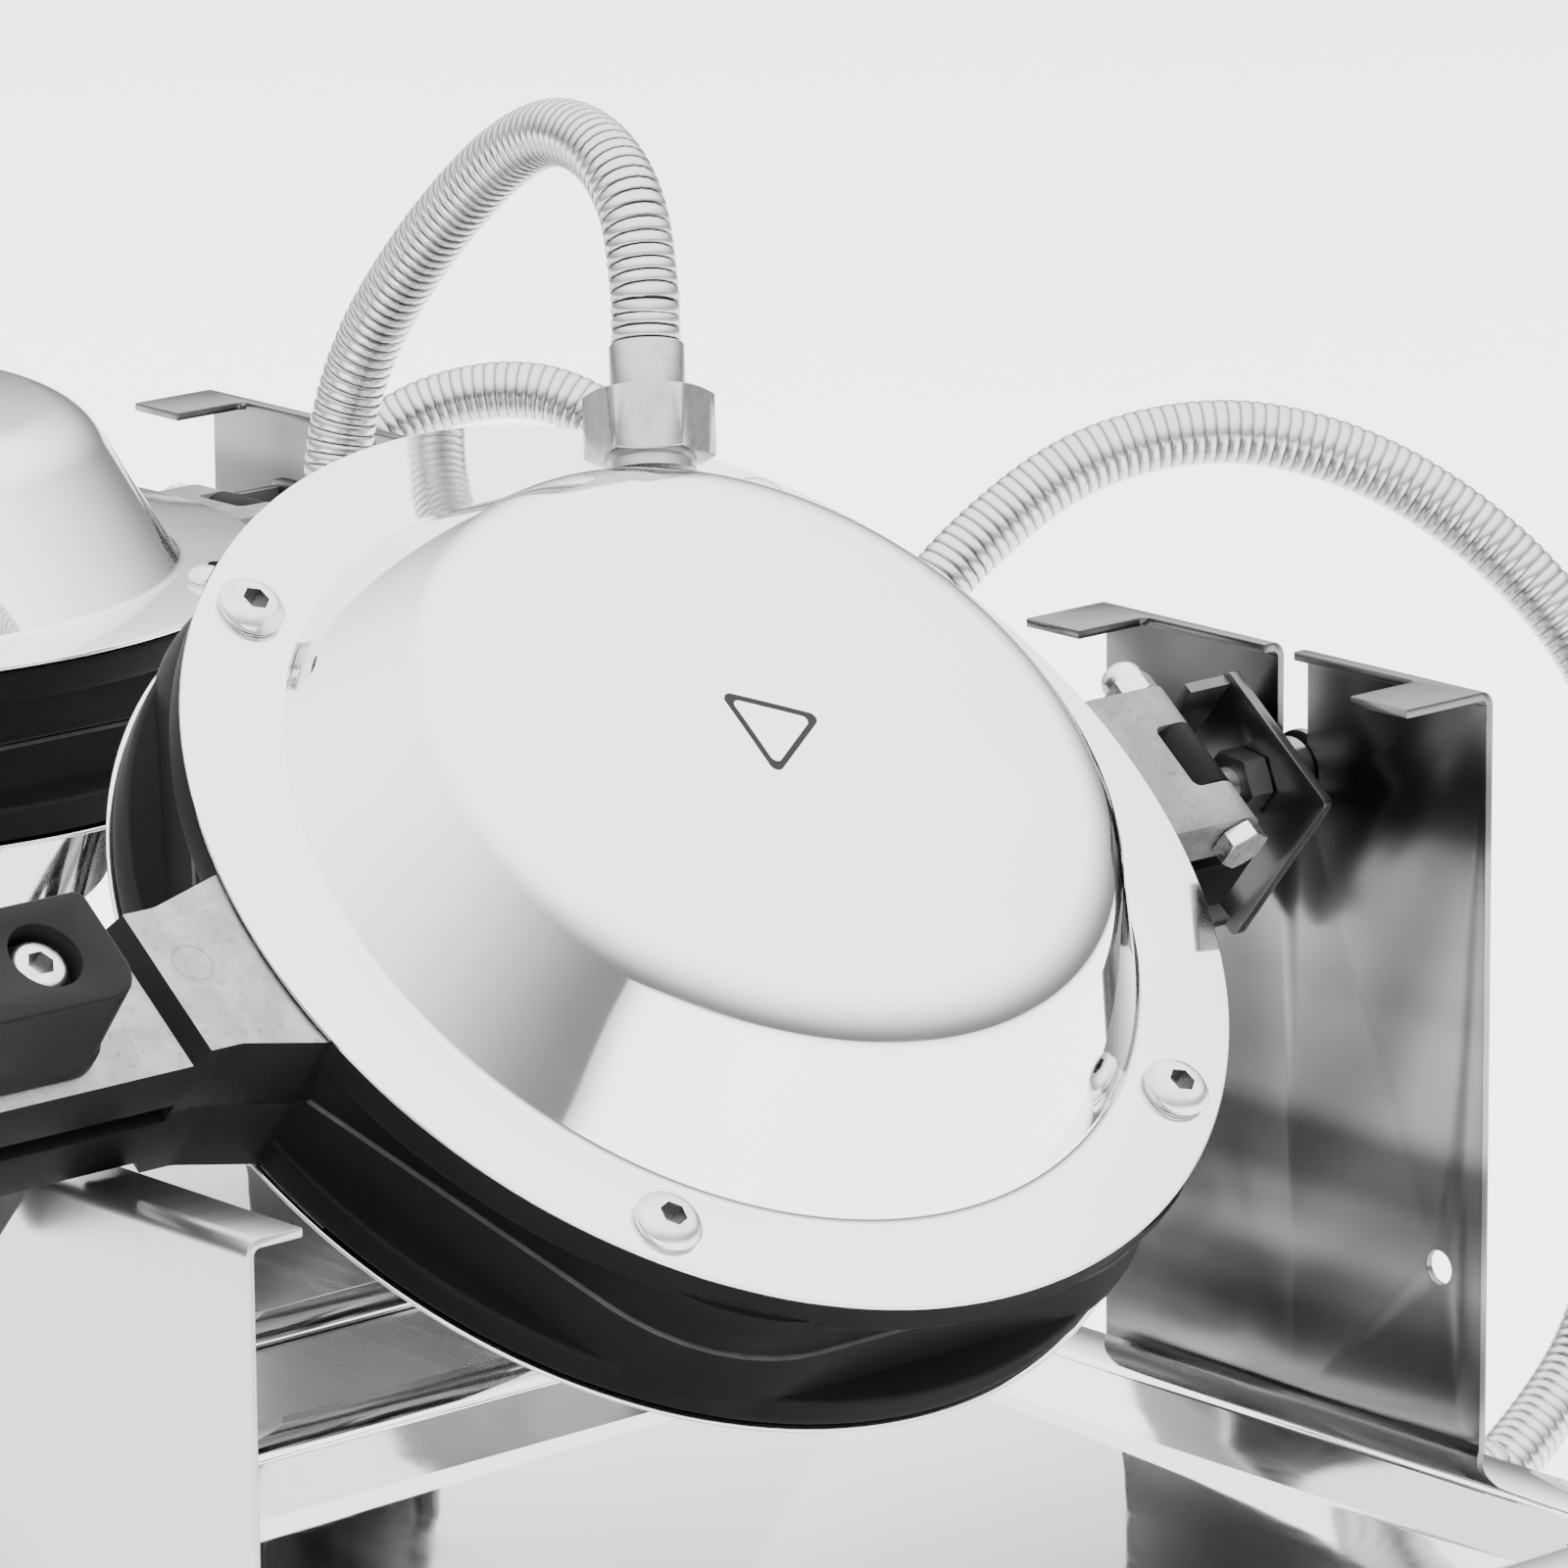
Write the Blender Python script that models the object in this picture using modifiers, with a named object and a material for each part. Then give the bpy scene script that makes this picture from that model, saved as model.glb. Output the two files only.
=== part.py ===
"""Twin rotary donut maker, in metres, +Z up.

Two round hinged pans, each closed by a lower and an upper half, turn over on a pivot in a rear
support while their handle arms lie over a front support. The origin is on the surface that the
feet stand on. Each pan is modelled level in its own frame: the pivot axis is +Y through the pan's
centre, the halves meet at height 0 and the handles point to -Y.
"""
import bpy
import bmesh
from math import cos, pi, radians, sin
from mathutils import Matrix, Vector

# The two units and the height of their pivot axes
UNIT_PITCH = 0.312
UNIT_Y = 0.04235
AXIS_HEIGHT = 0.2685
REST_TILT = {"right": radians(38.8), "left": 0.0}
UNIT_X = {"right": UNIT_PITCH / 2, "left": -UNIT_PITCH / 2}
GAP = 0.0003

# Pans
RIM_RADIUS = 0.1143
RIM_LOW = 0.0115
RIM_HIGH = 0.0189
BLOCK_APOTHEM = 0.105
BLOCK_CORNER_RADIUS = 0.1138
PARTING = GAP / 2
RING_RADIUS = 0.019
RING_SECTION = 0.009
RING_PITCH = 0.064
ARM_HALF_WIDTH = 0.0172
ARM_ROOT_HALF_WIDTH = 0.0215
ARM_ROOT_Y = -0.113
ARM_END_Y = -0.283
ARM_SPLIT_Y = -0.140
ARM_SHELF = 0.0150
ARM_UNDERSIDE = 0.0025

# Hinge of the upper pan and pivot of the lower one
HINGE_Y = 0.138
HINGE_HEIGHT = 0.0097
LUG_RADIUS = 0.0060
LUG_INNER = 0.0083
LUG_OUTER = 0.0185
PIN_RADIUS = 0.0030
PIN_BORE = 0.0033
KNUCKLE_HALF_WIDTH = 0.0079
PIVOT_BLOCK_END = 0.1500
PIVOT_RADIUS = 0.0040
PIVOT_BORE = 0.0043
BRACKET_FRONT = 0.1630
BRACKET_BACK = 0.1655

# Covers, heating elements and hose fittings
FLANGE_RADIUS = 0.115
FLANGE_HEIGHT = 0.0203
SHEET = 0.0010
WALL_FOOT_RADIUS = 0.094
WALL_SLOPE = radians(60)
WALL_HEIGHT = 0.0281
KNUCKLE = 0.018
CROWN_SLOPE = radians(6)
CROWN_RISE = 0.0033
HEATER_RADIUS = 0.070
HEATER_SECTION = 0.0040
FITTING_TILT = radians(30.4)
FITTING_WALL_HEIGHT = 0.0233
JUMPER_ANGLE = radians(163)
FEED_ANGLE = radians(120)
NUT_LOW = 0.0032
NUT_HIGH = 0.0172
FERRULE_END = 0.0273
HOSE_RADIUS = 0.0074

# Grips
GRIP_HALF_WIDTH = 0.014
GRIP_FRONT = -0.287
GRIP_BACK = -0.162
GRIP_TOP = 0.038
GRIP_SCREWS = (-0.1765, -0.2725)

# Supports
PLATE = 0.002
SUPPORT_HALF_WIDTH = 0.0576
REAR_FACE = 0.1753
REAR_TOP = 0.0275
REAR_FLANGE_FRONT = 0.1712
PRONG_FRONT = 0.1515
PRONG_INNER = 0.041
SLOT_HALF_WIDTH = 0.0044
FRONT_FACE = -0.1570
FRONT_TOP = -0.0231
FRONT_FOLD = 0.014

# Base
BASE_HALF_WIDTH = 0.290
BASE_FRONT = -0.190
BASE_REAR = 0.175
DECK = -0.1395
BASE_HEIGHT = 0.107
BASE_SHEET = 0.0015
TRAY_X = (0.134, 0.114, 0.108)
TRAY_FRONT = (-0.138, -0.118, -0.112)
TRAY_REAR = (0.1735, 0.157, 0.151)
TRAY_DEPTH = 0.011
FOOT_RADIUS = 0.017
GLAND_X = 0.028
GLAND_Z = -0.158
PANEL_FRONT = -0.1930
PANEL_HALF_WIDTH = 0.280
CONTROL_Z = -0.196
SWITCH_X = -0.078
THERMOSTAT_X = -0.012
TIMER_X = 0.066
LAMP_X = -0.078
LAMP_Z = -0.164
FEET_X = 0.262
FEET_Y = {"front": -0.165, "rear": 0.150}

ROUND = 36
parts = None
cutters = None
materials = {}


def clear_scene():
    """Remove everything and make the two collections."""
    global parts, cutters
    for thing in list(bpy.data.objects):
        bpy.data.objects.remove(thing, do_unlink=True)
    parts = bpy.data.collections.new("donut_maker")
    cutters = bpy.data.collections.new("cutters")
    for collection in (parts, cutters):
        bpy.context.scene.collection.children.link(collection)


def finish_of(name, colour, roughness, metallic):
    """One Principled material."""
    material = bpy.data.materials.new(name)
    material.use_nodes = True
    shader = material.node_tree.nodes["Principled BSDF"]
    shader.inputs["Base Color"].default_value = (*colour, 1.0)
    shader.inputs["Roughness"].default_value = roughness
    shader.inputs["Metallic"].default_value = metallic
    materials[name] = material


def make_materials():
    finish_of("polished_steel", (0.86, 0.86, 0.85), 0.07, 1.0)
    finish_of("brushed_steel", (0.62, 0.62, 0.61), 0.30, 1.0)
    finish_of("dark_steel", (0.20, 0.20, 0.21), 0.35, 1.0)
    finish_of("black_coating", (0.018, 0.018, 0.019), 0.45, 0.0)
    finish_of("zinc", (0.78, 0.78, 0.76), 0.22, 1.0)
    finish_of("hose_steel", (0.60, 0.60, 0.60), 0.28, 1.0)
    finish_of("bakelite", (0.020, 0.020, 0.021), 0.38, 0.0)
    finish_of("heater_sheath", (0.12, 0.11, 0.10), 0.50, 1.0)
    finish_of("black_plastic", (0.02, 0.02, 0.02), 0.40, 0.0)
    finish_of("red_plastic", (0.55, 0.03, 0.02), 0.30, 0.0)
    finish_of("lamp_lens", (0.75, 0.32, 0.03), 0.15, 0.0)
    finish_of("rubber", (0.03, 0.03, 0.03), 0.75, 0.0)
    finish_of("ceramic", (0.75, 0.73, 0.68), 0.55, 0.0)


# ---------------------------------------------------------------- shapes

def guide(name, mesh):
    """A working object in the cutters collection."""
    thing = bpy.data.objects.new(name, mesh)
    cutters.objects.link(thing)
    thing.hide_render = True
    thing.display_type = "WIRE"
    return thing


def from_bmesh(name, bm):
    mesh = bpy.data.meshes.new(name)
    bm.to_mesh(mesh)
    bm.free()
    return guide(name, mesh)


def box(x, y, z, name="box"):
    """A box from three (low, high) pairs."""
    low = Vector((x[0], y[0], z[0]))
    high = Vector((x[1], y[1], z[1]))
    matrix = Matrix.Translation((low + high) / 2) @ Matrix.Diagonal((high - low).to_4d())
    matrix[3][3] = 1.0
    bm = bmesh.new()
    bmesh.ops.create_cube(bm, size=1.0, matrix=matrix)
    return from_bmesh(name, bm)


def rod(radius, start, end, segments=16, end_radius=None, turn=0.0, name="rod"):
    """A cylinder, cone or prism between two points."""
    start = Vector(start)
    end = Vector(end)
    along = end - start
    aim = along.to_track_quat("Z", "Y").to_matrix().to_4x4()
    matrix = Matrix.Translation((start + end) / 2) @ aim @ Matrix.Rotation(turn, 4, "Z")
    bm = bmesh.new()
    bmesh.ops.create_cone(bm, cap_ends=True, segments=segments, radius1=radius,
                          radius2=radius if end_radius is None else end_radius,
                          depth=along.length, matrix=matrix)
    return from_bmesh(name, bm)


def hexagon(flats, start, end):
    """A hexagonal prism, from its width across flats."""
    return rod(flats / 2 / cos(pi / 6), start, end, segments=6)


def outline(points, low, high, name="outline"):
    """A flat plate between two heights, from its outline in X and Y."""
    curve = bpy.data.curves.new(name, "CURVE")
    curve.dimensions = "2D"
    curve.fill_mode = "BOTH"
    curve.extrude = (high - low) / 2
    spline = curve.splines.new("POLY")
    spline.points.add(len(points) - 1)
    for point, place in zip(spline.points, points):
        point.co = (place[0], place[1], 0.0, 1.0)
    spline.use_cyclic_u = True
    thing = bpy.data.objects.new(name, curve)
    cutters.objects.link(thing)
    thing.location.z = (low + high) / 2
    return as_mesh(thing)


def as_mesh(thing):
    """Turn a guide and its modifiers into a plain mesh guide, with its seams welded."""
    bpy.context.view_layer.update()
    graph = bpy.context.evaluated_depsgraph_get()
    mesh = bpy.data.meshes.new_from_object(thing.evaluated_get(graph))
    mesh.transform(thing.matrix_world)
    bm = bmesh.new()
    bm.from_mesh(mesh)
    bmesh.ops.remove_doubles(bm, verts=bm.verts, dist=1e-6)
    bmesh.ops.recalc_face_normals(bm, faces=bm.faces)
    bm.to_mesh(mesh)
    bm.free()
    name = thing.name
    bpy.data.objects.remove(thing, do_unlink=True)
    return guide(name, mesh)


def combined(base, steps):
    """Join to or cut from a guide with exact booleans."""
    for operation, other in steps:
        boolean = base.modifiers.new(operation.lower(), "BOOLEAN")
        boolean.operation = operation
        boolean.solver = "EXACT"
        boolean.object = other
    result = as_mesh(base)
    for _, other in steps:
        bpy.data.objects.remove(other, do_unlink=True)
    return result


def union(*pieces):
    return combined(pieces[0], [("UNION", piece) for piece in pieces[1:]])


def group(*pieces):
    """Separate solids that share one node."""
    bm = bmesh.new()
    for piece in pieces:
        bm.from_mesh(piece.data)
        bpy.data.objects.remove(piece, do_unlink=True)
    return from_bmesh("group", bm)


def moved(piece, matrix):
    piece.data.transform(matrix)
    return piece


def turned(profile, steps=ROUND, thickness=0.0):
    """A profile in X and Z turned about Z; with a thickness it is a shell under the profile."""
    mesh = bpy.data.meshes.new("profile")
    edges = [(i, i + 1) for i in range(len(profile) - 1)]
    mesh.from_pydata([(x, 0.0, z) for x, z in profile], edges, [])
    thing = guide("turned", mesh)
    screw = thing.modifiers.new("screw", "SCREW")
    screw.steps = steps
    screw.render_steps = steps
    screw.use_merge_vertices = True
    screw.merge_threshold = 0.0001
    screw.use_smooth_shade = True
    thing = as_mesh(thing)
    if thickness:
        shell = thing.modifiers.new("shell", "SOLIDIFY")
        shell.thickness = thickness
        shell.offset = -1.0
        thing = as_mesh(thing)
    return thing


def bevelled(piece, width, segments=1, angle=50):
    bevel = piece.modifiers.new("bevel", "BEVEL")
    bevel.width = width
    bevel.segments = segments
    bevel.limit_method = "ANGLE"
    bevel.angle_limit = radians(angle)
    return as_mesh(piece)


def radial(angle, out, height):
    """A point in a pan's frame from its angle about the pan's centre."""
    return Vector((out * cos(angle), out * sin(angle), height))


def smooth_route(points, count):
    """Evenly numbered points on a Catmull-Rom curve through the route."""
    ends = [2 * points[0] - points[1]] + points + [2 * points[-1] - points[-2]]
    spans = len(points) - 1
    route = []
    for i in range(count):
        place = i / (count - 1) * spans
        k = min(int(place), spans - 1)
        t = place - k
        a, b, c, d = ends[k:k + 4]
        route.append(0.5 * (2 * b + (c - a) * t + (2 * a - 5 * b + 4 * c - d) * t ** 2
                            + (3 * b - a - 3 * c + d) * t ** 3))
    return route


def show(name, piece, material, parent=None):
    """Put a finished guide in the parts collection as a named sub-part."""
    mesh = piece.data
    mesh.name = name
    mesh.materials.clear()
    mesh.materials.append(materials[material])
    mesh.shade_smooth()
    mesh.set_sharp_from_angle(angle=radians(32))
    bpy.data.objects.remove(piece, do_unlink=True)
    return show_mesh(name, mesh, parent)


def show_mesh(name, mesh, parent=None):
    thing = bpy.data.objects.new(name, mesh)
    parts.objects.link(thing)
    thing.parent = parent
    return thing


def axis_empty(name, place, parent=None, tilt=0.0):
    """An empty on a joint's axis; what hangs on it is modelled relative to that axis."""
    empty = bpy.data.objects.new(name, None)
    parts.objects.link(empty)
    empty.parent = parent
    empty.location = place
    empty.rotation_euler = (0.0, tilt, 0.0)
    return empty


# ---------------------------------------------------------------- pans and covers

HALF_TURN = Matrix.Rotation(pi, 4, "Y")


def donut_rings():
    """Seven ring-shaped mould cavities, one in the middle and six round it."""
    centres = [Vector((0, 0, 0))] + [radial(radians(60 * i), RING_PITCH, 0) for i in range(6)]
    rings = []
    for centre in centres:
        corners = [(RING_RADIUS + RING_SECTION * cos(a), RING_SECTION * sin(a))
                   for a in [radians(-60 * i) for i in range(7)]]
        rings.append(moved(turned(corners, steps=12), Matrix.Translation(centre)))
    return group(*rings)


def half_pan():
    """What both castings share: rim, hexagonal mould block and handle arm."""
    rim = rod(RIM_RADIUS, (0, 0, RIM_LOW), (0, 0, RIM_HIGH), segments=ROUND)
    block = rod(BLOCK_APOTHEM / cos(pi / 6), (0, 0, PARTING), (0, 0, RIM_LOW + 0.002), 6, turn=pi / 6)
    trim = rod(BLOCK_CORNER_RADIUS, (0, 0, -0.01), (0, 0, 0.03), segments=ROUND)
    block = combined(block, [("INTERSECT", trim)])
    sides = [(ARM_HALF_WIDTH, ARM_END_Y), (ARM_HALF_WIDTH, -0.128),
             (ARM_ROOT_HALF_WIDTH, ARM_ROOT_Y), (ARM_ROOT_HALF_WIDTH, -0.098)]
    arm = outline(sides + [(-x, y) for x, y in reversed(sides)], PARTING, RIM_HIGH)
    wide = (-0.03, 0.03)
    over_shelf = box(wide, (ARM_END_Y - 0.01, -0.1415), (ARM_SHELF, 0.03))
    under_arm = box(wide, (ARM_END_Y - 0.01, ARM_SPLIT_Y), (-0.01, ARM_UNDERSIDE))
    arm = combined(arm, [("DIFFERENCE", over_shelf), ("DIFFERENCE", under_arm)])
    return union(rim, block, arm)


def pin_hole():
    return rod(PIN_BORE, (-0.03, HINGE_Y, HINGE_HEIGHT), (0.03, HINGE_Y, HINGE_HEIGHT), 12)


def upper_pan():
    """Upper casting, with the fork that turns on the hinge bolt."""
    top = HINGE_HEIGHT + LUG_RADIUS
    low = HINGE_HEIGHT - LUG_RADIUS
    tongue = box((-LUG_OUTER, LUG_OUTER), (0.095, HINGE_Y), (low, top))
    eye = rod(LUG_RADIUS, (-LUG_OUTER, HINGE_Y, HINGE_HEIGHT), (LUG_OUTER, HINGE_Y, HINGE_HEIGHT), 16)
    pan = union(half_pan(), tongue, eye)
    slot = box((-LUG_INNER, LUG_INNER), (0.131, 0.160), (-0.01, 0.03))
    return combined(pan, [("DIFFERENCE", slot), ("DIFFERENCE", pin_hole()),
                          ("DIFFERENCE", donut_rings())])


def lower_pan():
    """Lower casting, with the block for the pivot bolt and the knuckle between the fork's lugs."""
    pan = moved(half_pan(), HALF_TURN)
    block = box((-LUG_OUTER, LUG_OUTER), (0.095, PIVOT_BLOCK_END), (-0.0155, -0.0005))
    neck = box((-KNUCKLE_HALF_WIDTH, KNUCKLE_HALF_WIDTH), (HINGE_Y - LUG_RADIUS, HINGE_Y + LUG_RADIUS),
               (-0.010, HINGE_HEIGHT))
    eye = rod(LUG_RADIUS, (-KNUCKLE_HALF_WIDTH, HINGE_Y, HINGE_HEIGHT),
              (KNUCKLE_HALF_WIDTH, HINGE_Y, HINGE_HEIGHT), 16)
    pan = union(pan, block, neck, eye)
    bolt_hole = rod(PIVOT_BORE, (0, HINGE_Y + 0.007, -0.0077), (0, 0.16, -0.0077), 12)
    return combined(pan, [("DIFFERENCE", pin_hole()), ("DIFFERENCE", bolt_hole),
                          ("DIFFERENCE", donut_rings())])


def cover_profile():
    """Crown, knuckle, steep wall and flange, from the middle outwards and down."""
    wall_top = WALL_FOOT_RADIUS - WALL_HEIGHT / 1.7320508
    centre = (wall_top - KNUCKLE * sin(WALL_SLOPE), WALL_HEIGHT - KNUCKLE * cos(WALL_SLOPE))
    bends = [CROWN_SLOPE + (WALL_SLOPE - CROWN_SLOPE) * i / 3 for i in range(4)]
    knuckle = [(centre[0] + KNUCKLE * sin(a), centre[1] + KNUCKLE * cos(a)) for a in bends]
    crown_radius, crown_height = knuckle[0]
    crown = [(0.0, crown_height + CROWN_RISE)]
    foot = [(WALL_FOOT_RADIUS, 0.0), (FLANGE_RADIUS, 0.0)]
    return [(x, z + FLANGE_HEIGHT) for x, z in crown + knuckle + foot]


def cover():
    return turned(cover_profile(), thickness=SHEET)


def heater():
    """Tubular heating element, lying on the back of the casting under the cover."""
    height = RIM_HIGH + GAP + HEATER_SECTION
    section = [(HEATER_RADIUS + HEATER_SECTION * cos(a), height + HEATER_SECTION * sin(a))
               for a in [radians(-60 * i) for i in range(7)]]
    return turned(section, steps=24)


def fitting(angle, side):
    """Hose fitting standing square on a cover's wall: collar, hexagon nut and ferrule."""
    out = WALL_FOOT_RADIUS - FITTING_WALL_HEIGHT / 1.7320508
    foot = radial(angle, out, side * (FLANGE_HEIGHT + FITTING_WALL_HEIGHT))
    way = radial(angle, cos(FITTING_TILT), side * sin(FITTING_TILT))
    collar = rod(0.009, foot + way * 0.0008, foot + way * (NUT_LOW + 0.001), 12)
    nut = rod(0.0136, foot + way * NUT_LOW, foot + way * NUT_HIGH, 6)
    ferrule = rod(0.0078, foot + way * (NUT_HIGH - 0.001), foot + way * FERRULE_END, 16)
    return union(collar, nut, ferrule), foot + way * (FERRULE_END + GAP), way


def grip():
    """Moulded grip on the arm's shelf, with a counterbore over each screw."""
    body = bevelled(box((-GRIP_HALF_WIDTH, GRIP_HALF_WIDTH), (GRIP_FRONT, GRIP_BACK),
                        (ARM_SHELF + GAP, GRIP_TOP)), 0.003)
    bores = [rod(0.0075, (0, y, GRIP_TOP - 0.0062), (0, y, GRIP_TOP + 0.01), 16) for y in GRIP_SCREWS]
    return combined(body, [("DIFFERENCE", bore) for bore in bores])


# ---------------------------------------------------------------- hinge and pivot

def hinge_bolt():
    """Bolt across the fork, with the acorn nut on its far end."""
    def at(x):
        return (x, HINGE_Y, HINGE_HEIGHT)
    head = hexagon(0.010, at(LUG_OUTER + GAP), at(LUG_OUTER + 0.0043))
    shank = rod(PIN_RADIUS, at(-LUG_OUTER - 0.002), at(LUG_OUTER + 0.001), 12)
    nut = hexagon(0.010, at(-LUG_OUTER - GAP), at(-LUG_OUTER - 0.0052))
    cap = rod(0.0046, at(-LUG_OUTER - 0.005), at(-LUG_OUTER - 0.0078), 14)
    tip = rod(0.0046, at(-LUG_OUTER - 0.0076), at(-LUG_OUTER - 0.0106), 14, 0.0022)
    return union(head, shank, nut, cap, tip)


def pivot_bracket():
    """Folded plate square to the pivot axis."""
    face = box((-0.020, 0.0185), (BRACKET_FRONT, BRACKET_BACK), (-0.031, 0.0133))
    side = box((-0.020, -0.0175), (0.1515, BRACKET_FRONT + 0.001), (-0.0215, 0.0133))
    foot = box((-0.0120, 0.0185), (0.1515, BRACKET_FRONT + 0.001), (-0.031, -0.0285))
    hole = rod(PIVOT_BORE, (0, 0.15, 0), (0, 0.18, 0), 12)
    corner = moved(box((-0.02, 0.02), (0.14, 0.18), (-0.02, 0.02)),
                   Matrix.Translation((-0.0345, 0, -0.0455)) @ Matrix.Rotation(radians(45), 4, "Y"))
    return combined(face, [("UNION", side), ("UNION", foot), ("DIFFERENCE", hole),
                           ("DIFFERENCE", corner)])


def pivot_bolt():
    """Pivot bolt with its head, spacer, washer and rear nut, all turning together."""
    def at(y):
        return (0, y, 0)
    head = hexagon(0.013, at(0.1560), at(BRACKET_FRONT - GAP))
    shank = rod(PIVOT_RADIUS, at(PIVOT_BLOCK_END + GAP), at(0.1868), 12)
    spacer = rod(0.0075, at(BRACKET_BACK + GAP), at(REAR_FACE - GAP), 14)
    washer = rod(0.0085, at(REAR_FACE + PLATE + GAP), at(0.1798), 14)
    return union(shank, head, spacer, washer, hexagon(0.013, at(0.1795), at(0.1858)))


# ---------------------------------------------------------------- supports and base

def rear_support():
    """Folded plate with the open slot that carries the pivot bolt."""
    x = (-SUPPORT_HALF_WIDTH, SUPPORT_HALF_WIDTH)
    back = REAR_FACE + PLATE
    plate = box(x, (REAR_FACE, back), (DECK - 0.001, REAR_TOP))
    tail = box((-SUPPORT_HALF_WIDTH, 0.002), (REAR_FACE, back), (DECK - 0.034, DECK))
    flange = box(x, (REAR_FLANGE_FRONT, back), (REAR_TOP - PLATE, REAR_TOP))
    prongs = [box((a, b), (PRONG_FRONT, REAR_FACE), (REAR_TOP - PLATE, REAR_TOP))
              for a, b in ((-SUPPORT_HALF_WIDTH, -PRONG_INNER), (PRONG_INNER, SUPPORT_HALF_WIDTH))]
    slot = box((-SLOT_HALF_WIDTH, SLOT_HALF_WIDTH), (0.15, 0.20), (0.0, 0.05))
    seat = rod(SLOT_HALF_WIDTH, (0, 0.15, 0), (0, 0.20, 0), 16)
    hole = rod(0.0037, (0.045, 0.15, -0.101), (0.045, 0.20, -0.101), 16)
    return combined(plate, [("UNION", piece) for piece in (tail, flange, *prongs)]
                    + [("DIFFERENCE", piece) for piece in (slot, seat, hole)])


def front_support():
    """Folded plate in front of the pan, with its upper edge bent back and its foot on the deck."""
    reach = SUPPORT_HALF_WIDTH
    low = DECK + GAP
    face = box((-reach, reach), (FRONT_FACE + GAP, FRONT_FACE + PLATE), (low + GAP, FRONT_TOP - PLATE / 2))
    fold = box((-reach, reach), (FRONT_FACE, FRONT_FACE + FRONT_FOLD), (FRONT_TOP - PLATE, FRONT_TOP))
    foot = box((-reach, reach), (FRONT_FACE + 2 * GAP, FRONT_FACE + FRONT_FOLD), (low, low + PLATE))
    return union(face, fold, foot)


def base_housing():
    """Sheet-metal box, open underneath, with a drop-in opening for each tray."""
    shell = box((-BASE_HALF_WIDTH, BASE_HALF_WIDTH), (BASE_FRONT, BASE_REAR), (DECK - BASE_HEIGHT, DECK))
    bm = bmesh.new()
    bm.from_mesh(shell.data)
    bmesh.ops.delete(bm, geom=[f for f in bm.faces if f.normal.z < -0.9], context="FACES_ONLY")
    bm.to_mesh(shell.data)
    bm.free()
    sheet = shell.modifiers.new("sheet", "SOLIDIFY")
    sheet.thickness = BASE_SHEET
    sheet.offset = -1.0
    sheet.use_even_offset = True
    shell = as_mesh(shell)
    holes = []
    for x in UNIT_X.values():
        reach = TRAY_X[1] + 0.001
        holes.append(box((x - reach, x + reach), (TRAY_FRONT[1] - 0.001, TRAY_REAR[1] + 0.001),
                         (DECK - 0.01, DECK + 0.01)))
    return combined(shell, [("DIFFERENCE", hole) for hole in holes])


def bottom_plate():
    reach = BASE_HALF_WIDTH - BASE_SHEET - GAP
    low = DECK - BASE_HEIGHT
    return box((-reach, reach), (BASE_FRONT + BASE_SHEET + GAP, BASE_REAR - BASE_SHEET - GAP),
               (low, low + BASE_SHEET))


def drip_tray():
    """Pressed tray whose rim lies on the deck: rim, sloping wall and floor."""
    bm = bmesh.new()
    loops = []
    top = DECK + GAP + SHEET
    for half, front, rear, z in zip(TRAY_X, TRAY_FRONT, TRAY_REAR, (top, top, top - TRAY_DEPTH)):
        corners = [(half, front), (half, rear), (-half, rear), (-half, front)]
        loops.append([bm.verts.new((x, y, z)) for x, y in corners])
    for outer, inner in zip(loops, loops[1:]):
        for i in range(4):
            j = (i + 1) % 4
            bm.faces.new((outer[i], outer[j], inner[j], inner[i]))
    bm.faces.new(loops[-1])
    tray = from_bmesh("tray", bm)
    sheet = tray.modifiers.new("sheet", "SOLIDIFY")
    sheet.thickness = SHEET
    sheet.offset = -1.0
    return as_mesh(tray)


def hose_gland():
    """The same fitting as on the covers, square on the base's rear panel."""
    def at(y):
        return (GLAND_X, BASE_REAR + y, GLAND_Z)
    collar = rod(0.009, at(GAP), at(NUT_LOW + 0.001), 12)
    nut = rod(0.0136, at(NUT_LOW), at(NUT_HIGH), 6)
    return union(collar, nut, rod(0.0078, at(NUT_HIGH - 0.001), at(FERRULE_END), 16))


def mains_gland():
    """Inlet gland for the mains lead."""
    def at(y):
        return (0, BASE_REAR + y, DECK - 0.070)
    return union(hexagon(0.022, at(GAP), at(0.006)), rod(0.009, at(0.005), at(0.018), 16, 0.007))


def foot(x, y):
    low = -AXIS_HEIGHT
    return rod(FOOT_RADIUS * 0.88, (x, y, low), (x, y, DECK - BASE_HEIGHT - GAP), 20, FOOT_RADIUS)


def control_panel():
    """Front panel with a raised frame round each switch."""
    panel = box((-PANEL_HALF_WIDTH, PANEL_HALF_WIDTH), (PANEL_FRONT, BASE_FRONT - GAP),
                (DECK - BASE_HEIGHT + 0.008, DECK - 0.008))
    steps = []
    for x in UNIT_X.values():
        sx = x + SWITCH_X
        steps.append(("UNION", box((sx - 0.011, sx + 0.011), (PANEL_FRONT - 0.005, PANEL_FRONT + 0.001),
                                   (CONTROL_Z - 0.015, CONTROL_Z + 0.015))))
    for x in UNIT_X.values():
        sx = x + SWITCH_X
        steps.append(("DIFFERENCE", box((sx - 0.0072, sx + 0.0072), (PANEL_FRONT - 0.01, PANEL_FRONT),
                                        (CONTROL_Z - 0.0112, CONTROL_Z + 0.0112))))
    return combined(panel, steps)


def rocker():
    """Rocker of a power switch, about its own tilting axis."""
    return bevelled(box((-0.0067, 0.0067), (-0.0025, 0.0010), (-0.0105, 0.0105)), 0.0006)


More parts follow.
